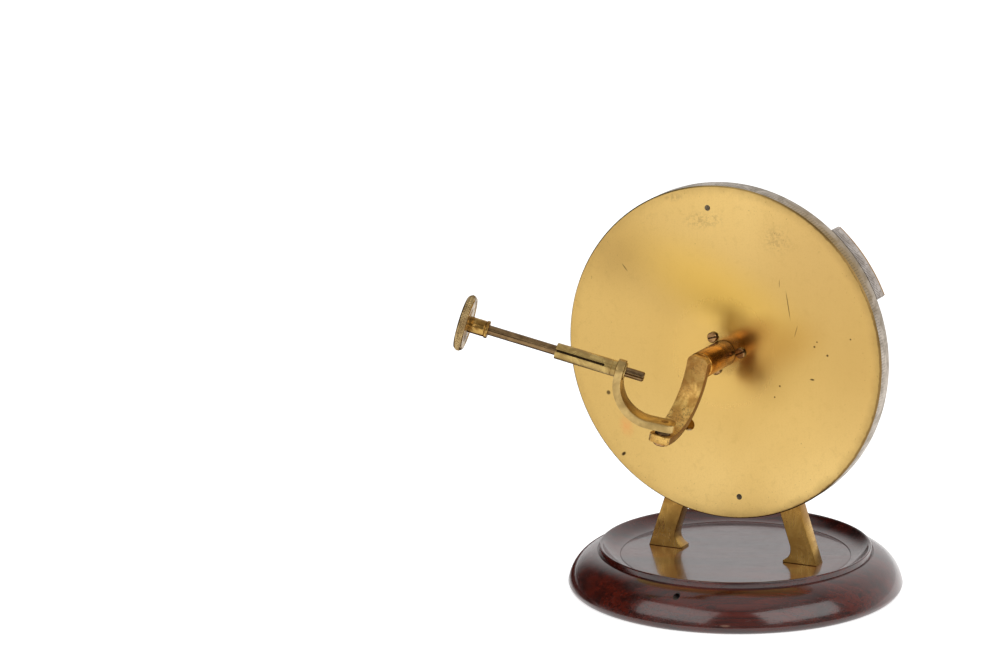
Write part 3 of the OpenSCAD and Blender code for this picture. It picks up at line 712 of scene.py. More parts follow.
@dataclass(frozen=True)
class GiltFaceFinish:
    """The circle's lacquered face: fine upright brushing, a halo at the hub, a painted reflection browner to
    the left, painted reflection fans round the hub, stains and small marks.
    """

    name: str = "gilt_face"
    # painted reflections: dark and light fans round the hub, standing in for the turned face's sheen
    reflection_fans: tuple[Patch, ...] = (
        Patch(3, -1, 34, 27, 0, 0.9, (202, 164, 90)),
        Patch(50, 4, 15, 30, 0, 0.8, (198, 161, 93)),
        Patch(-3.5, 21, 25, 9, -24, 0.75, (232, 190, 92)),
        Patch(17, 4, 15, 7, 20, 0.6, (180, 134, 62)),
        Patch(11, 8, 7, 4, 36, 0.5, (156, 102, 40)),
    )
    stains: tuple[Patch, ...] = (
        Patch(-18.9, 51.6, 3.4, 1.3, 8, 0.45),
        Patch(-7.5, 44.9, 6.5, 2.6, 8, 0.45),
        Patch(19.4, 40.5, 4.6, 4.2, 8, 0.45),
    )
    marks: tuple[Patch, ...] = (
        Patch(33.0, 5.7, 0.36, 0.36),
        Patch(37.7, 3.2, 0.4, 0.4),
        Patch(20.6, -9.1, 0.34, 0.34),
        Patch(18.8, -13.1, 0.28, 0.28),
        Patch(45.9, 9.6, 0.3, 0.3),
        Patch(-42.5, -18.3, 0.75, 0.75),
        Patch(33.9, 7.4, 0.26, 0.26),
        Patch(-36.8, -39.1, 0.9, 0.55, 40, 1.0),
        Patch(32.3, -5.6, 0.8, 0.3, 0, 0.9),
        Patch(20.2, 25.9, 0.12, 1.4, 0, 0.55),
        Patch(23.4, 18.8, 0.15, 4.6, 10, 0.75),
        Patch(26.3, 10.2, 0.13, 2.0, -16, 0.55),
        Patch(-36.4, 25.8, 1.5, 0.22, -50, 0.65),
    )

    def build(self) -> bpy.types.Material:
        """Makes the material.

        Returns:
            The material.
        """
        g = Graph(self.name)
        centre = (0, FACE_Y, AXIS_H)
        here = g.placed(centre)
        x, _, z = g.parts(here)
        away = g.sum("SQRT", g.plus(g.times(x, x), g.times(z, z)))
        cloud = g.noise(here, 0.02, 3, 0.5, 0.4)
        colour = g.blend(g.span(cloud, 0.35, 0.65), tone(222, 186, 114), tone(231, 196, 124))
        # painted reflection: the face browner towards the left
        colour = g.tint(colour, g.span(x, -58, 10, 1.0, 0.0), (208, 172, 101), 0.9)
        colour = g.tint(colour, Patch(38, 34, 30, 26, 40, 0.8).mask(g, 0.8), (202, 166, 102))
        colour = g.tint(colour, g.span(g.noise(here, 0.32, 5, 0.72, 0.6), 0.5, 0.72), (176, 140, 80), 0.2)
        colour = g.tint(colour, g.span(g.noise(here, 1.7, 3, 0.65), 0.46, 0.7), (182, 144, 82), 0.16)
        streak = g.noise(g.placed(centre, size=(0.36, 8, 30)), 1.0, 3, 0.55)
        across = g.noise(g.placed(centre, size=(42, 8, 0.8)), 1.0, 2, 0.5)
        colour = g.tint(colour, g.span(streak, 0.25, 0.8), (205, 166, 92), 0.07)
        halo = g.span(g.plus(away, g.noise(here, 0.3, 4, 0.6), 5.0), 7.6, 10.6, 1.0, 0.0)
        colour = g.tint(colour, halo, (184, 172, 132), 0.35)
        # painted reflection fans laid over the colour
        for reflection_fan in self.reflection_fans:
            colour = g.tint(colour, reflection_fan.mask(g, 0.85), reflection_fan.shade)
        rim = g.span(g.plus(away, g.noise(here, 0.12, 5, 0.7), 5.0), 55.4, 60.2)
        colour = g.tint(colour, g.times(rim, g.span(x, -40, 30, 0.35, 1.0)), (152, 122, 70), 0.6)
        ragged = g.span(g.plus(away, g.noise(here, 0.5, 3, 0.6), 0.9), 56.5, 57.0)
        colour = g.tint(colour, g.times(ragged, g.span(x, 4, 34)), (122, 96, 56), 0.85)
        for stain in self.stains:
            worn = g.span(g.noise(here, 0.9, 4, 0.7), 0.44, 0.6)
            colour = g.tint(colour, g.times(stain.mask(g, 0.6), worn), stain.shade)
        speck = g.span(g.noise(here, 1.3, 2, 0.6), 0.68, 0.74)
        colour = g.tint(colour, g.times(speck, g.span(away, 40, 56)), (120, 92, 50), 0.5)
        marks = g.times(g.dots(here, 0.28, 0.03, 0.055), g.span(g.noise(here, 0.06, 2, 0.5), 0.53, 0.6), 0.55)
        for mark in self.marks:
            marks = g.most(marks, mark.mask(g))
        colour = g.tint(colour, marks, (70, 54, 34))
        blush = g.times(Patch(-35.8, -29.4, 2, 3, 20, 0.8).mask(g, 0.7), g.noise(here, 0.9, 3, 0.6))
        colour = g.tint(colour, blush, (226, 150, 88))
        rough = g.plus(g.span(streak, 0.3, 0.7, -0.01, 0.015), g.span(away, 8, 26, 0.17, 0.33))
        lines = g.plus(g.times(streak, 0.7), across, 0.5)
        normal = g.bump(g.rest(marks), 0.04, g.bump(lines, 0.0008))
        return g.finish(colour, g.plus(rough, halo, 0.12), normal)


@dataclass(frozen=True)
class SilveredFinish:
    """Worn silvering with engraved divisions round the axle: step and line width are in degrees."""

    name: str
    step: float = 1.0
    line: float = 0.07
    reach: Pair = (-9.3, -3.3)
    short: float = 0.35
    depth: float = 0.7
    light: Triple = (206, 194, 180)
    dark: Triple = (158, 146, 130)
    tarnish: float = 0.0

    def build(self) -> bpy.types.Material:
        """Makes the material.

        Returns:
            The material.
        """
        g = Graph(self.name)
        here = g.placed((0, 0, AXIS_H))
        x, y, z = g.parts(here)
        cloud = g.noise(here, 0.16, 5, 0.68, 0.8)
        colour = g.blend(g.span(cloud, 0.36, 0.66), tone(*self.dark), tone(*self.light))
        fine = g.noise(here, 1.4, 3, 0.6)
        colour = g.tint(colour, g.span(fine, 0.5, 0.75), (120, 104, 82), 0.3)
        turn = g.times(g.sum("ARCTAN2", z, x), 180 / math.pi)
        if self.tarnish > 0:
            across = g.span(g.plus(y, cloud, 6.0), -6.5, -1.5, 1.0, 0.45)
            zone = g.times(g.span(turn, 12, 34), g.span(turn, 54, 78, 1.0, 0.1), across)
            colour = g.tint(colour, zone, (172, 143, 94), self.tarnish)
        low, high = self.reach
        along = g.sum("DIVIDE", g.sum("SUBTRACT", y, low), high - low)
        marks: object = 0.0
        for each, longer in ((1, 1.0), (5, 1.35), (10, 1.7)):
            every = self.step * each
            part = g.sum("FRACT", g.plus(g.sum("DIVIDE", turn, every), 1000.5))
            off = g.times(g.sum("ABSOLUTE", g.sum("SUBTRACT", part, 0.5)), every)
            ends = g.sum("LESS_THAN", along, self.short * longer)
            marks = g.most(marks, g.times(g.sum("LESS_THAN", off, self.line), ends))
        colour = g.tint(colour, marks, (40, 33, 26), self.depth)
        normal = g.bump(fine, 0.008, g.bump(g.rest(marks), 0.03))
        return g.finish(colour, g.span(cloud, 0.3, 0.7, 0.46, 0.34), normal)


@dataclass(frozen=True)
class SteelFinish:
    """Steel with a brown or blue cast and drawn lines; the painted shade inside the sleeve is a dark stretch
    between two X.
    """

    name: str
    light: Triple
    dark: Triple
    lines: Triple = (12.0, 0.3, 0.3)
    turn: Triple = (0.0, 0.0, 0.0)
    rough: float = 0.3
    sleeve_shade: Pair | None = None

    def build(self) -> bpy.types.Material:
        """Makes the material.

        Returns:
            The material.
        """
        g = Graph(self.name)
        streak = g.noise(g.placed(turn=self.turn, size=self.lines), 1.0, 2, 0.5)
        both = g.plus(g.times(streak, 0.5), g.noise(g.placed(), 0.22, 4, 0.65, 0.5), 0.5)
        colour = g.blend(g.span(both, 0.36, 0.64), tone(*self.dark), tone(*self.light))
        rough = g.plus(g.span(streak, 0.3, 0.7, -0.05, 0.08), self.rough)
        if self.sleeve_shade is not None:
            # painted shade: the pin darkened, and made rougher, where it lies inside the sleeve and under its
            # slit
            x, _, _ = g.parts(g.placed(turn=self.turn))
            low, high = self.sleeve_shade
            dark = g.times(g.span(x, low, low + 0.4), g.span(x, high - 0.4, high, 1.0, 0.0))
            colour = g.tint(colour, dark, (52, 40, 28), 0.85)
            rough = g.plus(rough, dark, 0.4)
        return g.finish(colour, rough, g.bump(streak, 0.01))


@dataclass(frozen=True)
class MahoganyFinish:
    """Polished mahogany: long dark and red streaks along the grain, short pores, an uneven polish."""

    name: str = "mahogany"
    grain_turn: float = 26.0

    def build(self) -> bpy.types.Material:
        """Makes the material.

        Returns:
            The material.
        """
        g = Graph(self.name)
        turn = (0, 0, self.grain_turn)
        figure = g.noise(g.placed((4, 9, 2), turn, (60, 7.5, 5)), 1.0, 4, 0.6, 0.5)
        streak = g.noise(g.placed((0, 3, 0), turn, (26, 1.1, 0.9)), 1.0, 4, 0.65, 0.3)
        both = g.plus(g.times(figure, 0.6), streak, 0.4)
        colour = g.blend(g.span(both, 0.36, 0.64), tone(46, 14, 9), tone(98, 29, 15))
        dark = g.noise(g.placed((70, 20, 9), (0, 0, self.grain_turn + 3), (38, 2.6, 2.4)), 1.0, 3, 0.6, 0.8)
        colour = g.tint(colour, g.span(dark, 0.56, 0.7), (26, 10, 9), 0.7)
        pore = g.times(g.dots(g.placed((0, 0, 0), turn, (3.4, 0.34, 0.5)), 1.0, 0.12, 0.3),
                       g.span(streak, 0.42, 0.6))
        colour = g.tint(colour, pore, (16, 7, 6), 0.6)
        # painted shade: near black inside the wormhole, which is also rougher
        wormhole_shade = g.near(WORMHOLE, (1.15, 2.6, 1.15), soft=0.12)
        colour = g.tint(colour, wormhole_shade, (12, 7, 5), 0.96)
        nick = g.near((20.0, -52.8, 3.3), (1.5, 1.5, 0.35), soft=0.5)
        colour = g.tint(colour, nick, (150, 112, 92), 0.6)
        ripple = g.noise(g.placed((5, 5, 5), turn, (7, 1.7, 1.7)), 1.0, 2, 0.5)
        height = g.plus(g.plus(g.times(ripple, 1.1), streak, 0.5), pore, -0.7)
        rough = g.plus(g.span(g.noise(g.placed(), 0.12, 4, 0.7), 0.3, 0.72, 0.16, 0.25), wormhole_shade, 0.6)
        return g.finish(colour, rough, g.bump(height, 0.034), 0.0, IOR=1.54, Coat_Weight=0.6,
                        Coat_Roughness=0.09)


class Finishes:
    """All finishes of the part, each built once when first asked for."""

    gilt_face = GiltFaceFinish()
    mahogany = MahoganyFinish()
    rim_scale = SilveredFinish("silvered_rim", short=0.3, depth=0.6, tarnish=0.8)
    vernier_scale = SilveredFinish("silvered_vernier", 0.5, reach=(-3.0, 2.7), short=0.45, depth=0.85,
                                   light=(214, 204, 196), dark=(182, 170, 160))
    # the frame's brass, with painted shade over its upper legs and head, where the circle shades them
    frame = BrassFinish("frame_brass", (208, 166, 90), (176, 134, 68), (124, 90, 48), 0.45, 8.0, 0.3,
                        (0.3, 6.0, 9.0), painted_shade_above=29.0)
    rim = BrassFinish("rim_brass", (206, 172, 108), (172, 140, 80), (120, 96, 58), 0.45, 9.0, 0.32)
    # the inner arm's brass, with painted shade on its right side and on its top
    inner_arm = BrassFinish("pitted_brass", (250, 205, 112), (198, 146, 66), (146, 94, 40), 0.55, 4.2, 0.36,
                            (0.4, 6.0, 6.0), pits=1.0, metal=0.55, speckle=0.9, painted_shade_side=3.62,
                            painted_shade_above=78.0)
    outer_arm = BrassFinish("khaki_brass", (200, 170, 110), (168, 140, 88), (120, 94, 58), 0.35, 6.0, 0.38,
                            (7.0, 0.3, 7.0))
    sleeve = BrassFinish("sleeve_brass", (206, 176, 108), (164, 134, 78), (110, 86, 48), 0.35, 5.0, 0.3,
                         (9.0, 0.25, 0.25), PIN_TURN, streaks=0.3, metal=0.8)
    boss = BrassFinish("boss_brass", (200, 162, 92), (138, 102, 50), (78, 54, 28), 0.5, 3.0, 0.2)
    knob = BrassFinish("knob_brass", (196, 168, 116), (148, 122, 82), (92, 74, 48), 0.45, 4.5, 0.26,
                       metal=0.9)
    spindle = BrassFinish("spindle_brass", (216, 156, 72), (134, 88, 34), (76, 48, 20), 0.3, 8.0, 0.22,
                          (0.5, 18.0, 0.5), streaks=0.6)
    dull = BrassFinish("dull_brass", (188, 152, 90), (148, 116, 64), (104, 80, 46), 0.5, 7.0, 0.34)
    bush = BrassFinish("bush_brass", (204, 150, 78), (168, 116, 52), (118, 80, 40), 0.4, 5.0, 0.28)
    # the hub screws' brass, with painted shade in their slots and round their heads
    hub_screw = BrassFinish("hub_screw_brass", (186, 144, 96), (130, 96, 62), (66, 46, 30), 0.6, 1.6, 0.26,
                            painted_shade_behind=-11.55)
    washer = BrassFinish("washer_brass", (96, 76, 50), (62, 48, 34), (36, 28, 22), 0.6, 2.0, 0.4)
    screw = SteelFinish("screw_steel", (126, 112, 88), (58, 50, 42), (1.5, 1.5, 1.5))
    # the pin's steel, with painted shade where it lies inside the sleeve
    pin = SteelFinish("pin_steel", (150, 122, 86), (100, 76, 50), (16.0, 0.28, 0.28), PIN_TURN, 0.26,
                      (-74.9, -57.4))
    axle = SteelFinish("axle_steel", (150, 146, 142), (92, 88, 86), (0.3, 12.0, 0.3))
    built: dict[str, bpy.types.Material] = {}

    @classmethod
    def get(cls, key: str) -> bpy.types.Material:
        """The material of a finish.

        Args:
            key: the finish's name here.

        Returns:
            The material.
        """
        if key not in cls.built:
            cls.built[key] = getattr(cls, key).build()
        return cls.built[key]


# Sub-assemblies


def linked(name: str, data: bpy.types.ID) -> bpy.types.Object:
    """A new object in the scene.

    Args:
        name: its name.
        data: its mesh, camera or light.

    Returns:
        The object.
    """
    made = bpy.data.objects.new(name, data)
    bpy.context.scene.collection.objects.link(made)
    return made


@dataclass
class Assembly:
    """What every sub-assembly shares: its places, and the ways to add and dress pieces."""

    plate_half: float = 2.7
    axis_h: float = AXIS_H
    arm_tilt: float = ARM_TILT
    arm_swing: float = 74.5
    crystal_y: float = -51.0
    eye_x: float = 17.5
    pin_lean: float = 4.5
    pin_sink: float = 0.4

    def axle(self) -> Place:
        """The circle's axle: Z to the front from the frame plate's front face, X right, Y up."""
        return Place((0, -self.plate_half, self.axis_h), (1, 0, 0), (0, 0, 1), (0, -1, 0))

    def crystal(self) -> Place:
        """Round the crystal: X left in the arms' tilted plane, Y back, Z to the pivot."""
        c, s = cos_sin(self.arm_tilt)
        return Place((0, self.crystal_y, self.axis_h), (-c, 0, s), (0, 1, 0), (-s, 0, -c))

    def pin_place(self) -> Place:
        """On the outer arm: the crystal's frame turned about its Z by the arm's swing.

        Returns:
            The frame, X away from the crystal as the pin goes, Z to the pivot.
        """
        base = self.crystal()
        c, s = cos_sin(self.arm_swing - 90)
        ex, ey = np.array(base.x), np.array(base.y)
        return Place(base.origin, tuple(c * ex + s * ey), tuple(c * ey - s * ex), base.z)

    def rod_place(self) -> Place:
        """On the pin's own line: the arm's frame turned by the lean about its eye.

        Returns:
            The frame, X along the pin.
        """
        at = self.pin_place()
        x, z = np.array(at.x), np.array(at.z)
        c, s = cos_sin(self.pin_lean)
        along, across = c * x - s * z, s * x + c * z
        eye = np.array(at.origin) + self.eye_x * x + self.pin_sink * z
        return Place(tuple(eye - self.eye_x * along), tuple(along), at.y, tuple(across))

    def along_pin(self) -> Place:
        """The pin's own frame with Z along it, away from the crystal, for turned pieces."""
        at = self.rod_place()
        return Place(at.origin, at.y, at.z, at.x)

    def piece(self, name: str, shell: Shell, place: Place, body: Body, slot: Slot, finish: str,
              replaces: Sequence[str] = (), crease: float = 38.0, weld: float = 0.0) -> bpy.types.Object:
        """Makes a shell a dressed object that rides on a body.

        Args:
            name: the piece's name.
            shell: its surface.
            place: its local frame.
            body: what it moves with.
            slot: the record's material slot; not used.
            finish: name of the finish.
            replaces: nodes of the part that it stands for.
            crease: angle above which an edge is drawn sharp.
            weld: distance within which corners are merged.

        Returns:
            The object.
        """
        mesh = shell.mesh(name, place, crease, weld)
        mesh.materials.append(Finishes.get(finish))
        made = linked(name, mesh)
        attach(made, body.value)
        if replaces:
            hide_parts(*replaces)
        LOG.info("piece %s: %d faces on %s", name, len(mesh.polygons), body.value)
        return made

    def clothe(self, frame: dict, finishes: dict[str, str]) -> None:
        """Gives nodes of the part their finishes.

        Args:
            frame: the loaded part.
            finishes: names of finishes by node.
        """
        for node, finish in finishes.items():
            materials = frame["nodes"][node].data.materials
            materials.clear()
            materials.append(Finishes.get(finish))
            LOG.info("node %s wears %s", node, finish)


@dataclass
class Stand(Assembly):
    """The turned base, the two-legged frame and the vernier."""

    base_r: float = 56.7
    under_r: float = 54.8
    base_h: float = 15.1
    wide_h: float = 2.4
    ridge_r: float = 45.5
    step_depth: float = 2.1
    step_w: float = 1.2
    dish_r: float = 38.9
    floor_h: float = 11.6
    leg_slope: float = math.tan(math.radians(18.2))
    leg_w: float = 7.9
    meet_h: float = 94.1
    flare: float = 4.6
    flare_h: float = 6.0
    lip: float = 0.7
    head_r: float = 15.0
    boss_r: float = 9.0
    boss_bore: float = 6.0
    boss_back: float = -16.2
    boss_front: float = 3.1
    wormhole: Triple = WORMHOLE
    worm_r: float = 1.0
    worm_depth: float = 2.4
    bore_r: float = 3.5
    screw_r: float = 1.34
    bore_h: float = 4.4
    screw_h: float = 11.0

    def foot_x(self) -> Pair:
        """Outer and inner edge of the right foot at the dish floor."""
        outer = (self.meet_h - self.floor_h) * self.leg_slope + self.leg_w / 2
        return outer, outer - self.leg_w - self.flare

    def base_profile(self) -> np.ndarray:
        """Half section of the base: underside edge, ovolo, step, rounded crest, hollow side, dish floor.

        Returns:
            Rows of radius and height.
        """
        step_r = self.ridge_r + self.step_w
        step_h = self.base_h - self.step_depth
        crest = 0.35
        foot = bowed((self.under_r, 0), (self.base_r, self.wide_h), 0.42, 8)
        ovolo = bowed((self.base_r, self.wide_h), (step_r + 0.1, step_h + 0.03), 2.2, 90)
        side = bowed((self.ridge_r - crest, self.base_h - crest / 2), (self.dish_r + 0.25, self.floor_h),
                     -0.7, 26)
        return np.concatenate([
            foot[:-1], ovolo,
            [(step_r, step_h - 0.14), (step_r - 0.16, step_h)],
            [(self.ridge_r + 2 * crest + 0.1, step_h - 0.02), (self.ridge_r + 2 * crest, step_h - 0.1)],
            [(self.ridge_r + 2 * crest - 0.02, step_h + 0.16)],
            arc((self.ridge_r + 0.12, self.base_h - 0.42), 0.42, 5, 130, 8),
            side,
            [(self.dish_r + 0.12, self.floor_h - 0.16), (self.dish_r - 0.02, self.floor_h - 0.04)],
            np.c_[np.linspace(self.dish_r - 0.3, 0, 12), np.full(12, self.floor_h)],
        ])

    def worm_cut(self, r: np.ndarray, h: np.ndarray, a: np.ndarray) -> np.ndarray:
        """The wormhole: inside its radius the surface goes in by its depth, with a short smooth wall.

        Args:
            r: radius of each corner.
            h: height of each corner.
            a: turn of each corner.

        Returns:
            What is added to each radius.
        """
        x, y, z = self.wormhole
        away = np.sqrt((r * np.cos(a) - x) ** 2 + (r * np.sin(a) - y) ** 2 + (h - z) ** 2) / self.worm_r
        inside = np.clip((1.1 - away) / 0.3, 0, 1)
        return -self.worm_depth * inside * inside * (3 - 2 * inside)

    def build_base(self) -> None:
        """The base: a turned top, and an underside with two counterbores for the foot screws."""
        outer, inner = self.foot_x()
        screw_x = (outer + inner) / 2
        hole_turn = math.atan2(self.wormhole[1], self.wormhole[0]) % (2 * math.pi)
        turns = np.unique(np.concatenate([np.linspace(0, 2 * math.pi, 288, endpoint=False),
                                          hole_turn + np.linspace(-0.032, 0.032, 31)]))
        top = turned(self.base_profile(), relief=self.worm_cut, turns=turns)
        ring = self.under_r * np.stack([np.cos(turns), np.sin(turns)], axis=1)
        bore = [(0, self.screw_h), (self.screw_r, self.screw_h), (self.screw_r, self.bore_h),
                (self.bore_r, self.bore_h), (self.bore_r, 0)]
        holes = []
        for x in (-screw_x, screw_x):
            holes.append(arc((x, 0), self.bore_r, 0, 360, SCREW_SIDES, False))
            top.join(turned(bore, SCREW_SIDES), Place((x, 0, 0)))
        top.join(flat_face([ring, *holes], 0.0, False))
        self.piece("turned_base", top, Place(), Body.STAND, Slot.MAHOGANY, "mahogany", ["base"],
                   crease=34, weld=0.001)

    def frame_outline(self) -> np.ndarray:
        """Outline of the frame plate: feet, legs and round head plate.

        Returns:
            Rows of X and height, anticlockwise as seen from the front.
        """
        k, w, top = self.leg_slope, self.leg_w, self.axis_h
        outer, inner = self.foot_x()
        gap = self.meet_h - top

        def meets(offset: float) -> Pair:
            """Where a leg's edge leaves the head plate's circle: the root of a quadratic in the drop.

            Args:
                offset: the edge's distance from the leg's middle, outwards.

            Returns:
                X and height of the point.
            """
            a = 1 + k * k
            b = 2 * k * (k * gap + offset)
            c = (k * gap + offset) ** 2 - self.head_r**2
            t = (-b + math.sqrt(b * b - 4 * a * c)) / (2 * a)
            return (k * (gap + t) + offset, top - t)

        out_x, out_z = meets(w / 2)
        in_x, in_z = meets(-w / 2)
        curve_h = self.floor_h + self.flare_h
        hollow = bowed((outer - w - self.flare_h * k, curve_h), (inner, self.floor_h + self.lip), -1.2, 14)
        start = math.degrees(math.atan2(out_z - top, out_x))
        end = math.degrees(math.atan2(in_z - top, in_x))
        head = arc((0, top), self.head_r, start, 180 - start, 72)
        crotch = arc((0, top), self.head_r, -180 - end, end, 14)
        left_hollow = hollow[::-1] * [-1, 1]
        return np.concatenate([
            [(outer, self.floor_h)], head, [(-outer, self.floor_h)], [(-inner, self.floor_h)],
            left_hollow, crotch, hollow, [(inner, self.floor_h)],
        ])

    def build_frame(self) -> None:
        """The frame casting: a plate with eased edges and the turned boss through its head."""
        upright = Place((0, 0, 0), (1, 0, 0), (0, 0, 1), (0, -1, 0))
        plate = prism(self.frame_outline(), -self.plate_half, self.plate_half, CAST_EASE)
        boss = eased(ring_section(self.boss_bore, self.boss_r, self.boss_back, self.boss_front), 0.3, 4)
        plate.join(turned(boss, 96, True), Place((0, self.axis_h, self.plate_half)))
        self.piece("leg_frame", plate, upright, Body.STAND, Slot.BRASS, "frame", ["frame"], crease=30)

    def build(self, frame: dict) -> None:
        """Builds and dresses the stand.

        Args:
            frame: the loaded part.
        """
        self.build_base()
        self.build_frame()
        self.clothe(frame, {"foot_screws": "screw", "foot_washers": "dull", "bearing_bush": "bush",
                            "vernier_arm": "frame", "vernier_screws": "screw", "stop_lever": "dull",
                            "stop_lever_screw": "screw", "vernier_scale": "vernier_scale"})


@dataclass
class Circle(Assembly):
    """The graduated circle with its hollow axle and milled head."""

    circle_r: float = 57.0
    band_in_r: float = 56.2
    band_back: float = 1.2
    band_front: float = 7.5
    head_at: float = -24.2

    def build(self, frame: dict) -> None:
        """Builds and dresses the circle.

        Args:
            frame: the loaded part.
        """
        band = eased(ring_section(self.band_in_r, self.circle_r, self.band_back, self.band_front),
                     TURNED_EASE)
        self.piece("degree_band", turned(band, 360, True), self.axle(), Body.CIRCLE, Slot.SILVERED,
                   "rim_scale", ["scale_band"])
        head = milled(diameter=38.0, thick=6.5, bore=4.51, teeth=132)
        self.piece("milled_circle_head", head, self.axle().ahead(self.head_at), Body.CIRCLE, Slot.DULL,
                   "dull", ["circle_head"], crease=50)
        self.clothe(frame, {"circle_plate": "gilt_face", "circle_rim": "rim", "stop_pins": "screw",
                            "hollow_axle": "dull", "hub_screws": "hub_screw", "ring_nut": "dull"})


def milled(diameter: float, thick: float, bore: float, teeth: int, swell: float = 0.5,
           depth: float = 0.16) -> Shell:
    """A milled head: smooth bevels, and a swelling band of crossed cuts round its rim.

    The rim's radius is its bow minus a depth times the larger of two saw waves, which run round at a
    slant to each other, so that small points stand between the cuts.

    Args:
        diameter: across the points.
        thick: along the axis.
        bore: radius of the hole, 0 for none.
        teeth: points round the rim.
        swell: how far the rim's middle stands past its edges.
        depth: depth of the cuts.

    Returns:
        The shell, with one face at 0 and the other at its thickness.
    """
    top = diameter / 2
    edge = top - swell
    lands = 0.3 if thick < 4 else 0.55  # plain edge beside the cuts
    sunk = 0.21  # depth of the ring turned in each face
    rim = bowed((edge, lands), (edge, thick - lands), swell, 17)
    low = [(bore, 0.0), (edge * 0.55, 0.0), (edge * 0.6, sunk), (edge * 0.84, sunk), (edge * 0.88, 0.0),
           (edge - lands, 0.0)]
    high = [(r, thick - h) for r, h in low[::-1]]
    profile = np.concatenate([low, rim, high])

    def cuts(r: np.ndarray, h: np.ndarray, a: np.ndarray) -> np.ndarray:
        """The crossed cuts: the depth times the larger of the two saw waves, on the rim only.

        Args:
            r: radius of each corner.
            h: height of each corner.
            a: turn of each corner.

        Returns:
            What is added to each radius.
        """
        saws = [np.abs((a + side * h / top) * teeth / (2 * math.pi) % 1 - 0.5) * 2 for side in (1, -1)]
        inside = np.clip((h - lands * 1.4) / 0.25, 0, 1) * np.clip((thick - lands * 1.4 - h) / 0.25, 0, 1)
        return -depth * np.maximum(*saws) * inside * (r > edge - 0.01)

    return turned(profile, teeth * 4, bore > 0, cuts)


@dataclass
class Carrier(Assembly):
    """The crystal axle with its spindle, the inner arm and the head that turns them."""

    arm_r: float = 18.7
    arm_t: float = 2.6
    arm_w: float = 7.5
    end_r: float = 2.3
    head_at: float = -32.6

    def build(self, frame: dict) -> None:
        """Builds and dresses the carrier.

        Args:
            frame: the loaded part.
        """
        spindle = eased([(2.01, 8.2), (4.5, 8.2), (4.5, 26.7), (4.2, 27.0), (2.5, 27.0), (2.5, 28.79),
                         (2.01, 28.79)], TURNED_EASE)
        self.piece("turned_spindle", turned(spindle, 96, True), self.axle(), Body.CARRIER, Slot.ORANGE,
                   "spindle", ["spindle"])
        strip = bent_strip((0.0, 0.0), self.arm_r, self.arm_t, self.arm_w, 0.0, 0.0, self.end_r, self.end_r)
        at = self.crystal()
        turned_place = Place(at.origin, at.y, tuple(-np.array(at.x)), at.z)
        self.piece("curved_inner_arm", strip, turned_place, Body.CARRIER, Slot.BRASS, "inner_arm",
                   ["inner_arm"], crease=34)
        head = milled(diameter=25.0, thick=5.5, bore=2.01, teeth=96)
        self.piece("milled_axle_head", head, self.axle().ahead(self.head_at), Body.CARRIER, Slot.DULL, "dull",
                   ["axle_head"], crease=50)
        self.clothe(frame, {"inner_axle": "axle", "pivot_washer": "washer", "axle_head_screw": "screw"})


def bent_strip(centre: Pair, radius: float, thick: float, width: float, first: float, last: float,
               start_r: float, end_r: float, bend: float = 90.0) -> Shell:
    """A flat strip bent through an angle, with eased edges and rounded ends.

    It lies in the local XZ plane and is centred on Y. The path runs up along +Z to the bend, which
    starts at +X from its centre, round the bend towards +Z, and straight on. The half width falls to
    the ends as a quarter circle of the corner radius does, and the half thickness as a bevel does.

    Args:
        centre: x and z of the bend's centre.
        radius: the bend's inner radius.
        thick: the strip's thickness.
        width: its width.
        first: straight length before the bend, less the half width past it.
        last: straight length after it, less the half width past it.
        start_r: corner radius at the first end.
        end_r: corner radius at the last end.
        bend: the angle in degrees.

    Returns:
        The shell.
    """
    half = width / 2
    mid = radius + thick / 2
    quarter = mid * math.radians(bend)
    ease, part = CAST_EASE, CAST_EASE * BEVEL_MIDDLE
    total = half + first + quarter + last + half
    quick = 1 - np.cos(np.linspace(0, math.pi / 2, 14))
    s = np.unique(np.round(np.concatenate([quick * start_r, [part, ease], total - quick * end_r,
                                           [total - part, total - ease],
                                           np.linspace(start_r, total - end_r, 90)]), 5))

    def half_width(away: np.ndarray, corner: float) -> np.ndarray:
        """Half width at a distance from an end: a quarter circle of the corner radius, then full."""
        inside = np.clip(away, 0, corner)
        return half - corner + np.sqrt(np.maximum(corner**2 - (corner - inside) ** 2, 0))

    wide = np.minimum(half_width(s, start_r), half_width(total - s, end_r))
    bevel = ease - np.clip(np.minimum(s, total - s), 0, ease)
    tall = (thick / 2 - bevel) / (thick / 2)
    up_to = half + first
    angle = np.clip((s - up_to) / mid, 0, math.radians(bend))
    middle = np.array([centre[0], 0.0, centre[1]])
    before = np.clip(up_to - s, 0, None)
    after = np.clip(s - up_to - quarter, 0, None)
    out = np.stack([np.cos(angle), np.zeros_like(angle), np.sin(angle)], axis=1)
    ahead = np.stack([-np.sin(angle), np.zeros_like(angle), np.cos(angle)], axis=1)
    path = middle + out * mid + ahead * (after - before)[:, None]
    e, f = ease / half, ease / (thick / 2)
    e_part, f_part = e * BEVEL_MIDDLE, f * BEVEL_MIDDLE
    right = np.array([(1 - e, -1), (1 - e_part, -1 + f_part), (1, -1 + f), (1, 1 - f),
                      (1 - e_part, 1 - f_part), (1 - e, 1)])
    section = np.concatenate([right, -right])
    side = np.repeat(np.array([[0.0, 1.0, 0.0]]), len(s), axis=0)
    scale = np.stack([np.maximum(wide, 0.02), tall * thick / 2], axis=1)
    return drawn(section, path, side, out, scale)


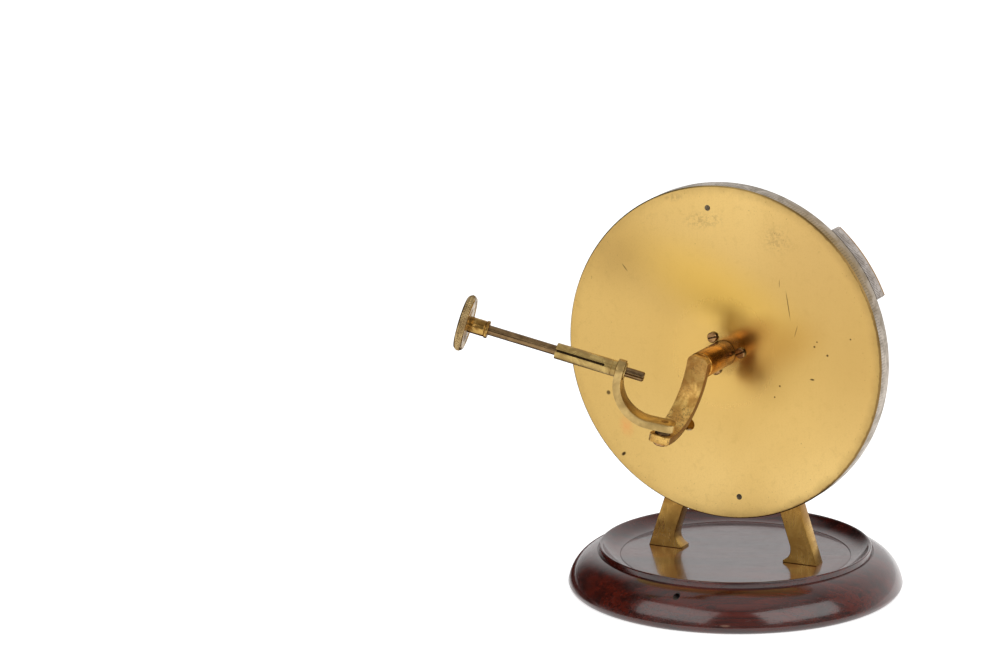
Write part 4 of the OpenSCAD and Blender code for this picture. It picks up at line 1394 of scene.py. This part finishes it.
@dataclass
class SwingArm(Assembly):
    """The outer arm and its pivot screw."""

    reach: float = 16.2
    drop: float = 14.5
    straight: float = 1.5
    thick: float = 2.6
    width: float = 7.2
    end_r: float = 2.3

    def build(self, frame: dict) -> None:
        """Builds and dresses the outer arm.

        Args:
            frame: the loaded part.
        """
        c, s = cos_sin(self.pin_lean)
        bend = (self.drop - self.pin_sink - s * self.thick / 2 - self.straight * c) / (1 + s)
        rise = self.drop - bend - self.pin_sink
        last = self.eye_x - (self.thick / 2 + bend - rise * s) / c
        strip = bent_strip((self.reach - bend, self.straight), bend, self.thick, self.width, self.straight,
                           last, self.width / 2, self.end_r, 90 + self.pin_lean)
        self.piece("curved_outer_arm", strip, self.rod_place(), Body.SWING_ARM, Slot.DULL, "outer_arm",
                   ["outer_arm"], crease=34)
        self.clothe(frame, {"pivot_screw": "hub_screw"})


def split_tube(profile: np.ndarray, first: int, last: int, width: float, turn: float,
               count: int = 30) -> Shell:
    """A turned tube with a straight saw cut through both its walls.

    Corners are as in a turned piece, but at radius r the corners beside the cut stand at plus and minus
    the arc sine of half the cut's width over r from the cut's middle, so its sides stay parallel. The
    cells of the cut between two profile points are left out, and flat faces close its sides and floor.

    Args:
        profile: rows of radius and height, a closed way round the wall.
        first: number of the profile point outside where the cut begins.
        last: number of the profile point inside where it ends.
        width: the cut's width.
        turn: direction of the cut's middle in degrees.
        count: corners on each of the two halves.

    Returns:
        The shell.
    """
    p = np.asarray(profile, dtype=float)
    side = np.arcsin(width / 2 / p[:, :1])
    half = side + (math.pi - 2 * side) * np.linspace(0, 1, count)[None]
    a = np.concatenate([half, half + math.pi], axis=1) + math.radians(turn)
    height = np.repeat(p[:, 1:], 2 * count, axis=1)
    points = np.stack([p[:, :1] * np.cos(a), p[:, :1] * np.sin(a), height], axis=-1)
    index = np.arange(a.size).reshape(a.shape)
    quads = grid_faces(index, True)[0].reshape(len(p), 2 * count, 4)
    keep = np.ones(quads.shape[:2], dtype=bool)
    keep[first:last, [count - 1, 2 * count - 1]] = False
    faces = [quads[keep]]
    for column in (count - 1, 2 * count - 1):
        before, after = index[first:last + 1, column], index[first:last + 1, (column + 1) % (2 * count)]
        faces.append(np.stack([before[::-1], after]))
        faces.append(np.array([[before[0], after[0], after[-1], before[-1]]]))
    return Shell().add(points.reshape(-1, 3), faces)


@dataclass
class PinHolder(Assembly):
    """The split sleeve, the crystal pin, its boss and its knob."""

    bore_r: float = 1.69
    tube_r: float = 2.7
    slit_w: float = 0.8
    slit_turn: float = 200.0
    knob_at: float = 69.6

    def sleeve_profile(self) -> np.ndarray:
        """Half section of the sleeve's wall: the lip inside the eye, the neck, the long tube, the bore.

        Returns:
            Rows of radius and distance along the pin, a closed way round the wall.
        """
        bore, tube = self.bore_r, self.tube_r
        return np.array([
            (bore, 15.7), (2.8, 15.7), (2.9, 15.8), (2.9, 16.0), (2.8, 16.1), (2.3, 16.1), (2.3, 18.9),
            (2.58, 18.9), (tube, 19.02), (tube, 20.4), (2.62, 20.5), (tube, 20.6), (tube, 22.9), (tube, 28.0),
            (tube, 33.0), (tube, 37.0), (tube, 39.55), (2.66, 39.66), (2.55, 39.7), (1.8, 39.7),
            (bore, 39.6), (bore, 33.0), (bore, 22.9),
        ])

    def build(self, frame: dict) -> None:
        """Builds and dresses the pin and its sleeve.

        Args:
            frame: the loaded part.
        """
        along = self.along_pin()
        sleeve = split_tube(self.sleeve_profile(), 12, 22, self.slit_w, self.slit_turn)
        self.piece("slit_sleeve", sleeve, along, Body.SLEEVE, Slot.DULL, "sleeve", ["split_sleeve"],
                   crease=30)
        boss = eased([(1.66, 62.9), (2.65, 62.9), (2.95, 63.15), (2.95, 63.85), (2.72, 64.1), (2.6, 64.3),
                      (2.7, 64.55), (2.7, self.knob_at), (1.66, self.knob_at)], TURNED_EASE, 4)
        self.piece("turned_boss", turned(boss, 64, True), along, Body.PIN, Slot.GILT, "boss", ["knob_boss"])
        knob = milled(diameter=19.2, thick=2.8, bore=0.0, teeth=60, swell=0.6, depth=0.42)
        self.piece("milled_pin_knob", knob, along.ahead(self.knob_at), Body.PIN, Slot.DULL, "knob",
                   ["pin_knob"], crease=50)
        self.clothe(frame, {"crystal_pin": "pin"})


# Studio


@dataclass
class Studio:
    """Camera, floor, world and two soft lamps."""

    azimuth: float = 26.71
    elevation: float = 14.05
    roll: float = -0.38
    lens: float = 190.8
    eye: Triple = (704.4, -1576.4, 520.8)
    front_level: float = 0.25
    top_level: float = 0.75
    side_level: float = 0.03
    overhead: float = 0.8
    floor_half: float = 4.0
    floor_drop: float = 0.0001
    floor_white: float = 0.8
    floor_mirrored: float = 0.61
    lamp_rise: float = 30.0
    lamp_away: float = 1.2
    lamp_aim: float = 0.06

    def way(self, azimuth: float, elevation: float) -> np.ndarray:
        """The direction from the part to a place round it: the azimuth counts from the front to the right."""
        (ca, sa), (ce, se) = cos_sin(azimuth), cos_sin(elevation)
        return np.array([sa * ce, -ca * ce, se])

    def build_camera(self) -> None:
        """The camera at the photograph's angle."""
        data = bpy.data.cameras.new("camera")
        data.sensor_width = 36.0
        data.lens = self.lens
        data.clip_start, data.clip_end = 0.05, 30.0
        camera = linked("camera", data)
        back = self.way(self.azimuth, self.elevation)
        right = np.array([*cos_sin(self.azimuth), 0.0])
        up = np.cross(back, right)
        c, s = cos_sin(self.roll)
        turn = Matrix(np.stack([right * c + up * s, up * c - right * s, back], axis=1).tolist()).to_4x4()
        camera.matrix_world = Matrix.Translation(Vector(self.eye) * MM) @ turn
        bpy.context.scene.camera = camera

    def build_floor(self) -> None:
        """A plain pale floor, white to the camera and to glossy surfaces, with the shadow kept.

        For glossy surfaces only, it is dark at the left, which gives the polish its depth.
        """
        half, low = self.floor_half, -self.floor_drop
        mesh = bpy.data.meshes.new("floor")
        mesh.from_pydata([(-half, -half, low), (half, -half, low), (half, half, low), (-half, half, low)],
                         [], [(0, 1, 2, 3)])
        g = Graph("pale_floor")
        path = g.add("LightPath").outputs
        x, y, _ = g.parts(g.placed())
        dark = g.times(g.span(x, -74, -54, 1.0, 0.0), g.span(y, -95, -55), g.span(y, 120, 240, 1.0, 0.0),
                       path["Is Glossy Ray"])
        g.feed(g.shader.inputs["Base Color"], g.tint((0.82, 0.82, 0.82, 1.0), dark, (74, 26, 20)))
        g.feed(g.shader.inputs["Roughness"], 0.9)
        g.feed(g.shader.inputs["Specular IOR Level"], 0.0)
        seen = g.times(g.most(path["Is Camera Ray"], path["Is Transmission Ray"]), self.floor_white)
        mirrored = g.times(g.sum("SUBTRACT", path["Is Glossy Ray"], dark), self.floor_mirrored)
        glow = g.add("Emission", {"Strength": g.most(seen, mirrored)})
        both = g.add("AddShader", {0: g.shader.outputs[0], 1: glow.outputs[0]})
        g.feed(g.output.inputs[0], both.outputs[0])
        mesh.materials.append(g.material)
        linked("floor", mesh)

    def build_world(self) -> None:
        """A white surround behind the part that falls off to the camera's side, overhead and to the left."""
        world = bpy.data.worlds.new("surround")
        bpy.context.scene.world = world
        world.use_nodes = True
        g = Nodes(world.node_tree)
        way = g.add("TexCoord").outputs["Generated"]
        path = g.add("LightPath").outputs
        _, _, height = g.parts(way)
        behind = g.dot(way, tuple(-self.way(self.azimuth, 0)))
        level = g.times(g.span(behind, -0.25, 0.5, self.front_level, 1.0),
                        g.span(g.dot(way, (-0.95, -0.05, 0.3)), 0.55, 0.85, 1.0, self.side_level),
                        g.span(height, 0.45, 0.95, 1.0, self.top_level))
        level = g.most(level, g.span(height, 0.68, 0.92, 0.0, self.overhead))
        level = g.most(level, g.most(path["Is Camera Ray"], path["Is Transmission Ray"]))
        g.add("OutputWorld", {0: g.add("Background", {"Strength": level}).outputs[0]})

    def lamp(self, name: str, azimuth: float, size: Pair, level: float) -> None:
        """A soft box aimed at the part, at the studio's rise above the horizon and distance.

        Args:
            name: the lamp's name.
            azimuth: where it stands, in degrees to the right of the camera.
            size: width and height in metres.
            level: brightness of its surface, where a white floor in full light is about 1.
        """
        data = bpy.data.lights.new(name, "AREA")
        data.shape = "RECTANGLE"
        data.size, data.size_y = size
        data.energy = level * math.pi * size[0] * size[1]
        made = linked(name, data)
        way = Vector(self.way(self.azimuth + azimuth, self.lamp_rise))
        made.location = way * self.lamp_away + Vector((0, 0, self.lamp_aim))
        made.rotation_mode = "QUATERNION"
        made.rotation_quaternion = way.to_track_quat("Z", "Y")

    def build(self) -> None:
        """Builds the studio."""
        self.build_camera()
        self.build_floor()
        self.build_world()
        self.lamp("soft_box_left", -48, (1.15, 0.75), 1.6)
        self.lamp("soft_box_right", 46, (1.2, 0.75), 1.9)
        bpy.context.scene.view_settings.view_transform = "Standard"


def main() -> None:
    """Loads the part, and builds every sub-assembly and the studio."""
    logging.basicConfig(level=logging.INFO, format="%(name)s %(message)s")
    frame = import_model()
    for assembly in (Stand(), Circle(), Carrier(), SwingArm(), PinHolder()):
        LOG.info("building %s", type(assembly).__name__)
        assembly.build(frame)
    Studio().build()
    bpy.context.view_layer.update()


if __name__ == "__main__":
    main()
